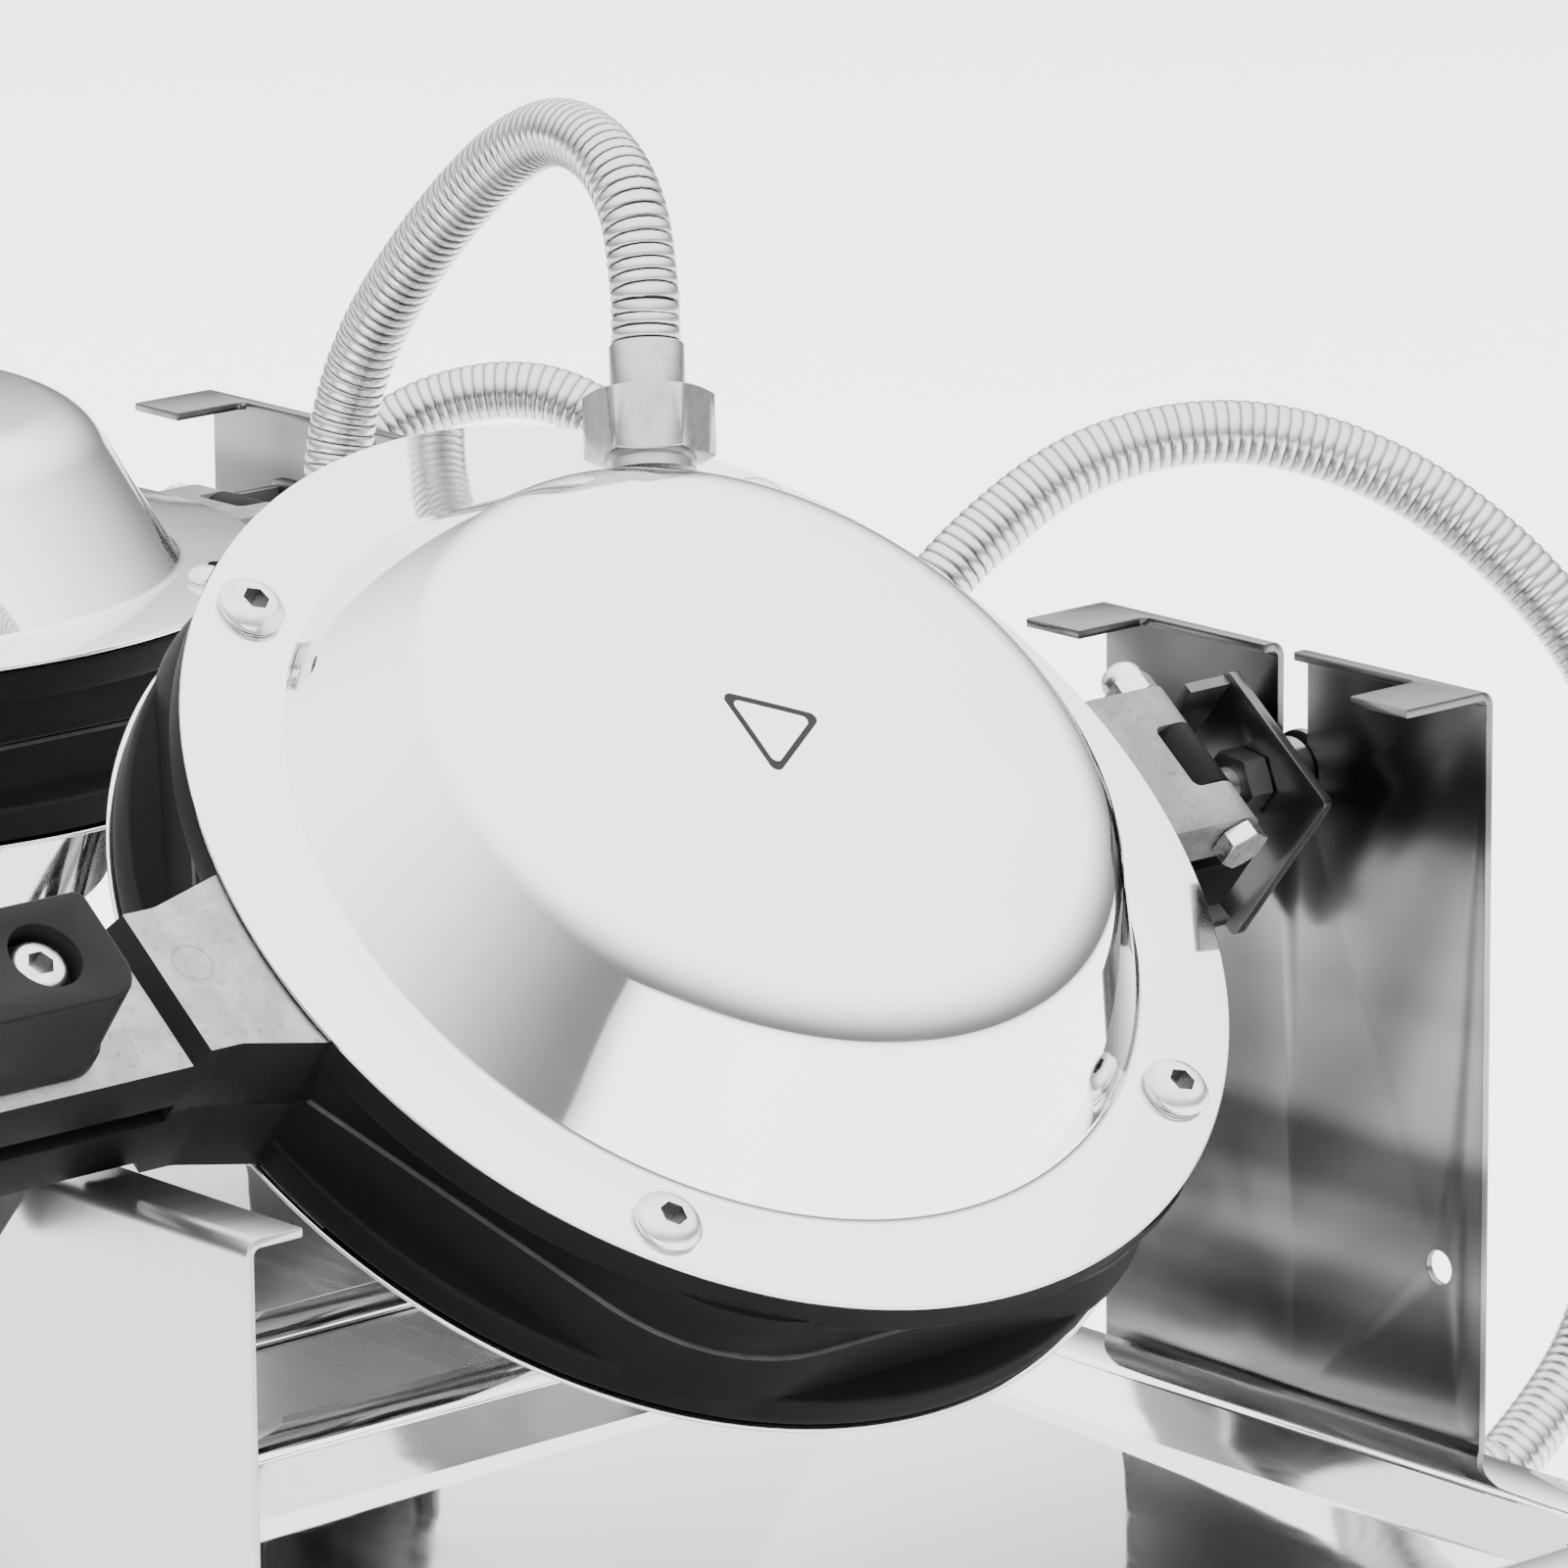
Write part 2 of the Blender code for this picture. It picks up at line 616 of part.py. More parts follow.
def knob(grip_width):
    """Control knob about its own axis: skirt, finger bar and pointer end."""
    skirt = rod(0.0200, (0, -0.0005, 0), (0, -0.0060, 0), 24, 0.0185)
    boss = rod(0.0150, (0, -0.0055, 0), (0, -0.0090, 0), 20, 0.0140)
    bar = box((-grip_width / 2, grip_width / 2), (-0.0200, -0.0055), (-0.0160, 0.0175))
    return union(skirt, boss, bevelled(bar, 0.0012))


def lamp():
    def at(y):
        return (LAMP_X, PANEL_FRONT - y, LAMP_Z)
    return union(rod(0.0055, at(GAP), at(0.002), 14), rod(0.0045, at(0.0015), at(0.0055), 14, 0.0034))


def control_body(x, size, depth):
    """What sits behind a control, inside the base."""
    return box((x - size / 2, x + size / 2), (BASE_FRONT + 0.0025, BASE_FRONT + 0.0025 + depth),
               (CONTROL_Z - size / 2, CONTROL_Z + size / 2))


# ---------------------------------------------------------------- hoses

JUMPER_ROUTE = [(0.1300, 0.0686), (0.146, 0.0672), (0.1605, 0.0600), (0.1710, 0.0495),
                (0.1795, 0.0330), (0.1858, 0.0100), (0.1890, -0.0130), (0.1888, -0.0330),
                (0.1835, -0.0500), (0.1730, -0.0625), (0.1580, -0.0695), (0.1410, -0.0710),
                (0.1250, -0.0685)]
FEED_ROUTE = {
    "right": [(-0.104, 0.130, -0.0090), (-0.107, 0.155, 0.0110),
              (-0.105, 0.181, 0.0320), (-0.096, 0.207, 0.0480), (-0.080, 0.233, 0.0530),
              (-0.061, 0.256, 0.0460), (-0.041, 0.274, 0.0300), (-0.023, 0.286, 0.0080),
              (-0.009, 0.291, -0.0190), (0.002, 0.289, -0.0490), (0.010, 0.280, -0.0790),
              (0.017, 0.265, -0.1090), (0.023, 0.243, -0.1400)],
    "left": [(-0.075, 0.132, -0.0735), (-0.081, 0.152, -0.0660),
             (-0.089, 0.178, -0.0500), (-0.091, 0.204, -0.0300), (-0.086, 0.231, -0.0080),
             (-0.073, 0.255, 0.0090), (-0.053, 0.274, 0.0130), (-0.032, 0.286, 0.0020),
             (-0.014, 0.292, -0.0200), (0.000, 0.291, -0.0490), (0.010, 0.282, -0.0790),
             (0.017, 0.267, -0.1090), (0.023, 0.244, -0.1400)]}


def hose(route, count):
    """A plain tube along a route."""
    curve = bpy.data.curves.new("hose", "CURVE")
    curve.dimensions = "3D"
    curve.bevel_depth = HOSE_RADIUS
    curve.bevel_resolution = 2
    curve.use_fill_caps = True
    spline = curve.splines.new("POLY")
    spline.points.add(count - 1)
    for point, place in zip(spline.points, smooth_route(route, count)):
        point.co = (*place, 1.0)
    thing = bpy.data.objects.new("hose", curve)
    cutters.objects.link(thing)
    return as_mesh(thing)


def straight_end(place, way):
    """The first points of a hose, in line with the fitting that it leaves."""
    return [place, place + way * 0.005, place + way * 0.011]


def jumper_hose(start, start_way, end, end_way):
    middle = [radial(JUMPER_ANGLE, out, height) for out, height in JUMPER_ROUTE]
    return hose(straight_end(start, start_way) + middle + straight_end(end, end_way)[::-1], 32)


def feed_hose(side, start, start_way):
    """From the lower cover's fitting over the rear support and down to the base's gland."""
    tilt = Matrix.Rotation(REST_TILT[side], 4, "Y")
    end = Vector((GLAND_X, BASE_REAR + FERRULE_END + GAP, GLAND_Z))
    route = [Vector(point) for point in FEED_ROUTE[side]]
    lead = straight_end(tilt @ start, tilt.to_3x3() @ start_way)
    return hose(lead + route + straight_end(end, Vector((0, 1, 0)))[::-1], 34)


# ---------------------------------------------------------------- assembly

def unit_meshes():
    """The pieces that both units share, by name: (guide, material, body)."""
    upper_fitting, top_end, top_way = fitting(JUMPER_ANGLE, 1)
    lower_fitting, low_end, low_way = fitting(JUMPER_ANGLE, -1)
    feed_fitting, feed_start, feed_way = fitting(FEED_ANGLE, -1)
    pieces = {
        "upper_pan": (upper_pan(), "black_coating", "upper"),
        "upper_cover": (cover(), "polished_steel", "upper"),
        "upper_heater": (heater(), "heater_sheath", "upper"),
        "upper_hose_fitting": (upper_fitting, "zinc", "upper"),
        "upper_grip": (grip(), "bakelite", "upper"),
        "lower_pan": (lower_pan(), "black_coating", "lower"),
        "lower_cover": (moved(cover(), HALF_TURN), "polished_steel", "lower"),
        "lower_heater": (moved(heater(), HALF_TURN), "heater_sheath", "lower"),
        "lower_hose_fitting": (lower_fitting, "zinc", "lower"),
        "feed_hose_fitting": (feed_fitting, "zinc", "lower"),
        "lower_grip": (moved(grip(), HALF_TURN), "bakelite", "lower"),
        "hinge_bolt": (hinge_bolt(), "zinc", "lower"),
        "pivot_bracket": (pivot_bracket(), "dark_steel", "lower"),
        "pivot_bolt": (pivot_bolt(), "zinc", "lower"),
        "jumper_hose": (jumper_hose(top_end, top_way, low_end, low_way), "hose_steel", "lower"),
        "rear_support": (rear_support(), "brushed_steel", "base"),
        "front_support": (front_support(), "brushed_steel", "base"),
        "drip_tray": (drip_tray(), "polished_steel", "base"),
        "hose_gland": (hose_gland(), "zinc", "base"),
        "heating_lamp": (lamp(), "lamp_lens", "base"),
        "thermostat": (control_body(THERMOSTAT_X, 0.036, 0.030), "ceramic", "base"),
        "timer": (control_body(TIMER_X, 0.044, 0.040), "black_plastic", "base"),
    }
    return pieces, feed_start, feed_way


def build_units(pieces, feed_start, feed_way):
    """Both units from the shared meshes, each on its own pivot and hinge empties."""
    to_hinge = Matrix.Translation((0, -HINGE_Y, -HINGE_HEIGHT))
    meshes = {}
    for name, (piece, material, body) in pieces.items():
        if body == "upper":
            moved(piece, to_hinge)
        meshes[name] = show("right_" + name, piece, material)
    for side, tilt in REST_TILT.items():
        centre = (UNIT_X[side], UNIT_Y, AXIS_HEIGHT)
        stand = axis_empty(side + "_stand", centre)
        pivot = axis_empty(side + "_pivot_axis", (0, 0, 0), stand, tilt)
        hinge = axis_empty(side + "_hinge_axis", (0, HINGE_Y, HINGE_HEIGHT), pivot)
        homes = {"upper": hinge, "lower": pivot, "base": stand}
        for name, (_, _, body) in pieces.items():
            if side == "right":
                meshes[name].parent = homes[body]
            else:
                show_mesh(side + "_" + name, meshes[name].data, homes[body])
        show(side + "_feed_hose", feed_hose(side, feed_start, feed_way), "hose_steel", stand)


def build_controls():
    """Switch, thermostat and timer of each unit, each on an empty on its own axis."""
    for side, x in UNIT_X.items():
        y = UNIT_Y + PANEL_FRONT
        z = AXIS_HEIGHT + CONTROL_Z
        places = {"power_switch": (SWITCH_X, -0.003), "thermostat_knob": (THERMOSTAT_X, 0.0),
                  "timer_knob": (TIMER_X, 0.0)}
        shapes = {"power_switch": (rocker(), "red_plastic"), "thermostat_knob": (knob(0.0085), "black_plastic"),
                  "timer_knob": (knob(0.0085), "black_plastic")}
        for name, (offset, stand_off) in places.items():
            axis = axis_empty(f"{side}_{name}_axis", (x + offset, y + stand_off, z))
            piece, material = shapes[name]
            show(f"{side}_{name}", piece, material, axis)


def build_base():
    """What stays still and belongs to both units."""
    stand = axis_empty("base_frame", (0, UNIT_Y, AXIS_HEIGHT))
    show("base_housing", base_housing(), "brushed_steel", stand)
    show("bottom_plate", bottom_plate(), "brushed_steel", stand)
    show("control_panel", control_panel(), "brushed_steel", stand)
    show("mains_gland", mains_gland(), "black_plastic", stand)
    for end, y in FEET_Y.items():
        for side, x in (("right", FEET_X), ("left", -FEET_X)):
            show(f"{end}_{side}_foot", foot(x, y), "rubber", stand)


def main():
    clear_scene()
    make_materials()
    build_units(*unit_meshes())
    build_controls()
    build_base()


main()
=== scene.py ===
from math import cos, pi, radians, sin, sqrt, tan
import bmesh
import bpy
from mathutils import Matrix, Vector


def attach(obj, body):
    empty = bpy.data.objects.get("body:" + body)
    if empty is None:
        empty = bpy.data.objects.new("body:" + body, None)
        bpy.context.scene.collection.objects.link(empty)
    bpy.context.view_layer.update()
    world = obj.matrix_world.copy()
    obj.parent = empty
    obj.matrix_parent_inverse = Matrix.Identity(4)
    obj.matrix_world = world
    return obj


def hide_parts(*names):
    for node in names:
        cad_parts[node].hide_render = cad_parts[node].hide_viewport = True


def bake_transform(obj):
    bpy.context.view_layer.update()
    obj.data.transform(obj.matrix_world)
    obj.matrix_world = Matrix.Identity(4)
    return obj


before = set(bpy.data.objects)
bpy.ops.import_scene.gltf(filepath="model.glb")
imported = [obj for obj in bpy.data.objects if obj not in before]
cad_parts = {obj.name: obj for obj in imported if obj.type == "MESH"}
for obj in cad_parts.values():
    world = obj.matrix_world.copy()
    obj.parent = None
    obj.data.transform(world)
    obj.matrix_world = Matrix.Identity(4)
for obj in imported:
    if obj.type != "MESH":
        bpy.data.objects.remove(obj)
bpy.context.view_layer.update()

# The units and their pivot axes
UNIT_X = {"right": 0.156, "left": -0.156}
UNIT_Y = 0.04235
AXIS_HEIGHT = 0.2685
TILT = {"right": radians(38.8), "left": 0.0}
HINGE_Y = 0.138
HINGE_HEIGHT = 0.0097

# The view: where the camera stands, its turn, drop and roll, and its lens
EYE = Vector((1.5578, -1.1736, 0.7651))
EYE_TURN = radians(41.633)
EYE_DROP = radians(14.193)
EYE_ROLL = radians(-0.468)
LENS = 218.5

# Castings and covers, in a pan's own frame
RIM_RADIUS = 0.1143
RIM_LOW = 0.0115
RIM_HIGH = 0.0189
BLOCK_APOTHEM = 0.105
BLOCK_ROUNDING = 0.046
BLOCK_DRAFT = 0.0014
FLANGE_RADIUS = 0.115
FLANGE_HEIGHT = 0.0203
SHEET = 0.0010
WALL_FOOT_RADIUS = 0.094
WALL_HEIGHT = 0.0281
KNUCKLE = 0.018
CROWN_SLOPE = radians(6)
WALL_SLOPE = radians(60)
CROWN_RISE = 0.0033
SCREW_CIRCLE = 0.105
SCREW_ANGLES = [radians(a) for a in (40.3, 139.7, -40.3, -139.7)]
ARM_SHELF = 0.0150
GRIP_TOP = 0.038
GRIP_SCREWS = (-0.1765, -0.2725)
FITTING_TILT = radians(30.4)
FITTING_WALL_HEIGHT = 0.0233
JUMPER_ANGLE = radians(163)
FEED_ANGLE = radians(120)
NUT_LOW = 0.0032
NUT_HIGH = 0.0172
FERRULE_END = 0.0273
GAP = 0.0003
RIB_CREST = 0.0072
RIB_PITCH = 0.0027
RIB_DEPTH = 0.0006
HOSE_POINTS = 600
HINGE_EYE = 0.0060
HINGE_HALF = 0.0185
NECK_HALF = 0.0079
PIN_BORE = 0.0033
BOLT_BORE = 0.0043
SOCKET = 0.0029
SOCKET_TOP = 0.006
DONUT_RADIUS = 0.019
DONUT_DEPTH = 0.009
DONUT_CIRCLE = 0.064

# Supports and base, relative to a unit's pivot axis
REAR_FACE = 0.1753
PLATE = 0.002
PLATE_BEND = 0.0025
PLATE_HALF = 0.0576
REAR_TOP = 0.0275
SLOT_HALF = 0.0044
FRONT_FACE = -0.1570
FRONT_TOP = -0.0231
DECK = -0.1395
BASE_REAR = 0.175
BASE_FRONT = -0.190
BASE_HALF_WIDTH = 0.290
BASE_HEIGHT = 0.107
PANEL_FRONT = -0.1930
CONTROL_Z = -0.196
SWITCH_X = -0.078
THERMOSTAT_X = -0.012
TIMER_X = 0.066
LAMP_Z = -0.164
GLAND_X = 0.028
GLAND_Z = -0.158
TRAY_DEPTH = 0.011
MARKS_CIRCLE = 0.0245

# The room, and limits that every mesh shares
ROOM_RADIUS = 8.0
SOFTBOX = 2.4
TENT_STRENGTH = 3.9
SMOOTH_BELOW = radians(35)
WELD = 1e-6

HALF_TURN = Matrix.Rotation(pi, 4, "Y")
UPRIGHT = Matrix.Rotation(pi / 2, 4, "X")
STAND = {side: Matrix.Translation((x, UNIT_Y, AXIS_HEIGHT)) for side, x in UNIT_X.items()}
PAN = {side: STAND[side] @ Matrix.Rotation(TILT[side], 4, "Y") for side in UNIT_X}
MIDDLE = Matrix.Translation((0, UNIT_Y, AXIS_HEIGHT))


# ------------------------------------------------------------------ camera

def set_camera():
    ahead = Vector((-cos(EYE_TURN), sin(EYE_TURN), 0))
    sight = ahead * cos(EYE_DROP) - Vector((0, 0, sin(EYE_DROP)))
    up = ahead * sin(EYE_DROP) + Vector((0, 0, cos(EYE_DROP)))
    aside = Vector((sin(EYE_TURN), cos(EYE_TURN), 0))
    right = aside * cos(EYE_ROLL) + up * sin(EYE_ROLL)
    above = up * cos(EYE_ROLL) - aside * sin(EYE_ROLL)
    lens = bpy.data.cameras.new("camera")
    lens.lens = LENS
    lens.sensor_width = 36.0
    lens.clip_end = 30.0
    camera = bpy.data.objects.new("camera", lens)
    bpy.context.scene.collection.objects.link(camera)
    turn = Matrix((right, above, -sight)).transposed().to_4x4()
    camera.matrix_world = Matrix.Translation(EYE) @ turn
    bpy.context.scene.camera = camera


# ------------------------------------------------------------------ finishes

def grey(value):
    return (value,) * 3


class Wire:
    """A socket on which Python's operators add Math nodes."""

    def __init__(self, finish, socket):
        self.finish = finish
        self.socket = socket

    def _with(self, operation, first, second=None):
        sockets = {0: first} if second is None else {0: first, 1: second}
        return self.finish.node("ShaderNodeMath", {"operation": operation}, sockets)

    def __add__(self, other):
        return self._with("ADD", self, other)

    def __sub__(self, other):
        return self._with("SUBTRACT", self, other)

    def __rsub__(self, other):
        return self._with("SUBTRACT", other, self)

    def __mul__(self, other):
        return self._with("MULTIPLY", self, other)

    __radd__ = __add__
    __rmul__ = __mul__

    def clamp(self):
        return self._with("MINIMUM", self._with("MAXIMUM", self, 0.0), 1.0)


class Finish:
    """A node material on one Principled shader."""

    def __init__(self, name, metallic=0.0):
        self.material = bpy.data.materials.new(name)
        self.material.use_nodes = True
        self.tree = self.material.node_tree
        self.shader = self.tree.nodes["Principled BSDF"]
        self.set("Metallic", metallic)

    def node(self, kind, settings=None, sockets=None, output=0):
        """Any node: its settings first, then the values or links of its sockets."""
        node = self.tree.nodes.new(kind)
        for key, value in (settings or {}).items():
            setattr(node, key, value)
        for key, value in (sockets or {}).items():
            self.plug(node.inputs[key], value)
        return Wire(self, node.outputs[output])

    def attribute(self, name, output="Fac"):
        return self.node("ShaderNodeAttribute", {"attribute_name": name}, output=output)

    def plug(self, socket, value):
        if isinstance(value, Wire):
            self.tree.links.new(value.socket, socket)
        else:
            socket.default_value = value

    def set(self, name, value):
        self.plug(self.shader.inputs[name], value)

    def place(self, stretch=(1, 1, 1), made=True):
        """The maker's coordinates that a piece keeps, or the object's own, stretched."""
        at = (self.attribute("made_at", "Vector") if made
              else self.node("ShaderNodeTexCoord", output="Object"))
        return self.node("ShaderNodeMapping", sockets={"Vector": at, "Scale": stretch})

    def noise(self, at, scale, detail, rough=0.55):
        return self.node("ShaderNodeTexNoise", sockets={"Vector": at, "Scale": scale,
                         "Detail": detail, "Roughness": rough}, output="Fac")

    def between(self, factor, low, high):
        """A value that runs from low to high as the factor goes from 0 to 1."""
        return factor * (high - low) + low

    def shade(self, factor, dark, light):
        """A colour mixed between two colours."""
        mix = self.tree.nodes.new("ShaderNodeMix")
        mix.data_type = "RGBA"
        self.plug(mix.inputs[0], factor)
        self.plug(mix.inputs[6], dark if isinstance(dark, Wire) else (*dark, 1.0))
        self.plug(mix.inputs[7], light if isinstance(light, Wire) else (*light, 1.0))
        return Wire(self, mix.outputs[2])

    def bump(self, height, depth, strength):
        normal = self.node("ShaderNodeBump", sockets={"Height": height, "Distance": depth,
                           "Strength": strength}, output="Normal")
        self.set("Normal", normal)

    def ramp(self, factor, low, high):
        """0 below low, 1 above high, smooth between."""
        return self.node("ShaderNodeMapRange", {"interpolation_type": "SMOOTHSTEP"},
                         {"Value": factor, "From Min": low, "From Max": high})


def polished_steel():
    """Mirror-bright pressed sheet with soft waves and faint wipe marks."""
    f = Finish("polished_steel", metallic=1.0)
    at = f.place()
    wipe = f.noise(f.place((9, 60, 60)), 1.0, 6.0)
    cloud = f.noise(at, 14.0, 3.0)
    f.set("Base Color", f.shade(cloud, grey(0.78), grey(0.86)))
    f.set("Roughness", f.between(f.ramp(wipe, 0.45, 0.75), 0.04, 0.10))
    f.bump(f.noise(at, 26.0, 1.0), 0.00035, 0.35)
    return f.material


def satin_steel(name, stretch, light, rough):
    """Sheet with a fine grain along one direction."""
    f = Finish(name, metallic=1.0)
    grain = f.noise(f.place(stretch), 1.0, 5.0, 0.65)
    cloud = f.noise(f.place(), 7.0, 2.0)
    f.set("Base Color", f.shade(cloud, grey(light * 0.92), grey(light * 1.06)))
    f.set("Roughness", f.between(grain, *rough))
    f.bump(grain, 0.000012, 0.3)
    return f.material


def painted_reflection_sheet():
    """Sheet darkened with painted reflections of dark things in soft level bands, with a fine
    grain.
    """
    f = Finish("rear_sheet", metallic=1.0)
    grain = f.noise(f.place((8, 1500, 1500)), 1.0, 4.0, 0.6)
    reflection_bands = f.ramp(f.noise(f.place((1.2, 1.2, 30)), 1.0, 2.0, 0.4), 0.38, 0.64)
    # painted reflection: the base colour is kept dark in level bands to stand in for dark
    # surroundings mirrored in the sheet
    f.set("Base Color", f.shade(reflection_bands, grey(0.06), grey(0.24)))
    f.set("Roughness", f.between(grain, 0.24, 0.28))
    return f.material


def coated_casting():
    """Fine-grained black coating; where the casting is machined the metal is bare and pitted."""
    f = Finish("coated_casting")
    at = f.place()
    bare_and_shade = f.attribute("mark")
    grain = f.noise(at, 1500.0, 2.0)
    cloud = f.noise(at, 45.0, 4.0)
    lines = f.noise(f.place((60, 2600, 900)), 1.0, 3.0)
    pits = f.ramp(f.noise(at, 420.0, 4.0, 0.7), 0.56, 0.68)
    patch = f.ramp(f.noise(at, 95.0, 4.0, 0.7), 0.40, 0.66)
    ejector = f.node("ShaderNodeVectorMath", {"operation": "DISTANCE"},
                     {0: at, 1: (-0.003, -0.1305, RIM_HIGH)}, output="Value")
    ring = f.ramp(ejector, 0.0038, 0.0042) - f.ramp(ejector, 0.0043, 0.0047)
    cover = (bare_and_shade * (1 - pits * 0.35)).clamp()
    black = f.shade(cloud, (0.0018, 0.0018, 0.0020), (0.0050, 0.0050, 0.0053))
    metal = f.shade(patch, (0.27, 0.267, 0.26), (0.36, 0.356, 0.35))
    f.set("Base Color", f.shade(cover, black, f.shade(ring, metal, (0.22, 0.22, 0.21))))
    f.set("Metallic", cover)
    f.set("Roughness", f.between(cover, 0.50, 0.34) + lines * 0.10)
    f.set("Specular IOR Level", 0.08)
    f.bump(grain * 0.6 + lines * bare_and_shade * 0.4 - pits * bare_and_shade * 0.8 - ring * 0.8, 0.00010, 0.45)
    return f.material


def bakelite():
    """Moulded black grip with a low, slightly mottled sheen."""
    f = Finish("bakelite")
    at = f.place()
    cloud = f.noise(at, 38.0, 4.0)
    f.set("Base Color", f.shade(cloud, (0.0025, 0.0025, 0.0028), (0.0060, 0.0060, 0.0064)))
    f.set("Specular IOR Level", 0.10)
    f.set("Roughness", f.between(cloud, 0.38, 0.52))
    f.bump(f.noise(at, 900.0, 3.0), 0.00005, 0.35)
    return f.material


def plated_steel(name="plated_steel", light=0.74, rough=(0.22, 0.34)):
    """Bright plated hardware with turning marks, small stains and painted shade in the screw
    sockets.
    """
    f = Finish(name, metallic=1.0)
    at = f.place()
    stain = f.ramp(f.noise(at, 260.0, 4.0, 0.6), 0.40, 0.75)
    socket_shade = f.attribute("mark")
    metal = f.shade(stain, grey(light), grey(light * 0.80))
    # painted shade: faces marked as inside a screw's hexagon socket are coloured dark grey
    f.set("Base Color", f.shade(socket_shade, metal, grey(0.26)))
    f.set("Roughness", f.between(f.noise(at, 700.0, 3.0), *rough))
    f.bump(f.noise(at, 1800.0, 2.0), 0.00003, 0.4)
    return f.material


def hose_steel():
    """Strip-wound hose: bright crests, and dull grooves darkened with painted shade."""
    f = Finish("hose_steel", metallic=1.0)
    crest = f.attribute("crest")
    at = f.place(made=False)
    cloud = f.noise(at, 160.0, 3.0)
    light = f.shade(cloud, (0.52, 0.52, 0.515), (0.66, 0.66, 0.65))
    # painted shade: the grooves between the ribs are coloured near black
    f.set("Base Color", f.shade(f.ramp(crest, 0.20, 0.95), grey(0.015), light))
    f.set("Roughness", f.between(cloud, 0.20, 0.34))
    f.bump(f.noise(at, 1400.0, 2.0), 0.00003, 0.4)
    return f.material


def plain_surface(name, dark, light, rough, scale, depth, metallic=0.0, made=True):
    """A mottled surface between two colours with a fine bump."""
    f = Finish(name, metallic=metallic)
    at = f.place(made=made)
    cloud = f.noise(at, scale, 4.0)
    f.set("Base Color", f.shade(cloud, dark, light))
    f.set("Specular IOR Level", 0.2)
    f.set("Roughness", f.between(cloud, *rough))
    f.bump(f.noise(at, scale * 14, 3.0), depth, 0.4)
    return f.material


def tent_cloth():
    """Lit cloth of the light tent: bright overhead and dimmer towards the floor."""
    f = Finish("tent_cloth")
    f.set("Base Color", (*grey(0.0), 1.0))
    f.set("Roughness", 1.0)
    height = f.node("ShaderNodeSeparateXYZ", sockets={0: f.place(made=False)}, output="Z")
    climb = f.ramp(height * (1 / ROOM_RADIUS), 0.02, 0.78)
    f.set("Emission Color", f.shade(climb, grey(0.10), grey(1.0)))
    f.set("Emission Strength", TENT_STRENGTH)
    f.set("Specular IOR Level", 0.0)
    return f.material


def floor_paint():
    f = Finish("floor_paint")
    at = f.place(made=False)
    f.set("Base Color", f.shade(f.noise(at, 1.5, 2.0), grey(0.86), grey(0.90)))
    f.set("Roughness", f.between(f.noise(at, 60.0, 2.0), 0.45, 0.6))
    return f.material


# ------------------------------------------------------------------ mesh making

def guide(name, mesh):
    thing = bpy.data.objects.new(name, mesh)
    bpy.context.scene.collection.objects.link(thing)
    return thing


def from_bmesh(bm, name="shape"):
    mesh = bpy.data.meshes.new(name)
    bm.to_mesh(mesh)
    bm.free()
    return guide(name, mesh)


def as_mesh(thing):
    """A guide with its modifiers worked in."""
    bpy.context.view_layer.update()
    graph = bpy.context.evaluated_depsgraph_get()
    mesh = bpy.data.meshes.new_from_object(thing.evaluated_get(graph))
    mesh.transform(thing.matrix_world)
    name = thing.name
    bpy.data.objects.remove(thing, do_unlink=True)
    return guide(name, mesh)


def welded(thing):
    bm = bmesh.new()
    bm.from_mesh(thing.data)
    bmesh.ops.remove_doubles(bm, verts=bm.verts, dist=WELD)
    bmesh.ops.recalc_face_normals(bm, faces=bm.faces)
    bm.to_mesh(thing.data)
    bm.free()
    return thing


def box(x, y, z):
    low = Vector((x[0], y[0], z[0]))
    high = Vector((x[1], y[1], z[1]))
    size = high - low
    matrix = Matrix.Translation((low + high) / 2) @ Matrix.Diagonal((*size, 1.0))
    bm = bmesh.new()
    bmesh.ops.create_cube(bm, size=1.0, matrix=matrix)
    return from_bmesh(bm)


def aim(start, end):
    start = Vector(start)
    along = Vector(end) - start
    return Matrix.Translation(start) @ along.to_track_quat("Z", "Y").to_matrix().to_4x4()


def rod(radius, start, end, sides=48):
    length = (Vector(end) - Vector(start)).length
    matrix = aim(start, end) @ Matrix.Translation((0, 0, length / 2))
    bm = bmesh.new()
    bmesh.ops.create_cone(bm, cap_ends=True, segments=sides, radius1=radius, radius2=radius,
                          depth=length, matrix=matrix)
    return from_bmesh(bm)


def lathe(profile, sides, start=(0, 0, 0), end=(0, 0, 1)):
    """A closed turned body: the profile's (radius, height) points run from axis to axis."""
    bm = bmesh.new()
    rings = []
    for radius, height in profile:
        if radius < 1e-7:
            rings.append([bm.verts.new((0, 0, height))])
        else:
            rings.append([bm.verts.new(radial(2 * pi * i / sides, radius, height))
                          for i in range(sides)])
    for low, high in zip(rings, rings[1:]):
        for i in range(sides):
            j = (i + 1) % sides
            corners = dict.fromkeys([low[i % len(low)], low[j % len(low)],
                                     high[j % len(high)], high[i % len(high)]])
            if len(corners) > 2:
                bm.faces.new(list(corners))
    bmesh.ops.recalc_face_normals(bm, faces=bm.faces)
    thing = from_bmesh(bm)
    thing.data.transform(aim(start, end))
    return thing


def hexagon(flats, start, end, chamfer):
    """A hexagon whose corners are turned down at both ends, as on a nut or a bolt's head."""
    length = (Vector(end) - Vector(start)).length
    corner = flats / 2 / cos(pi / 6)
    inset = flats / 2 - chamfer * 0.2
    drop = (corner - inset) * tan(radians(16))
    outside = corner + 0.0001
    turned = lathe([(0, 0), (inset, 0), (outside, drop), (outside, length - drop),
                    (inset, length), (0, length)], 48, start, end)
    return combined(rod(corner, start, end, 6), [("INTERSECT", turned)])


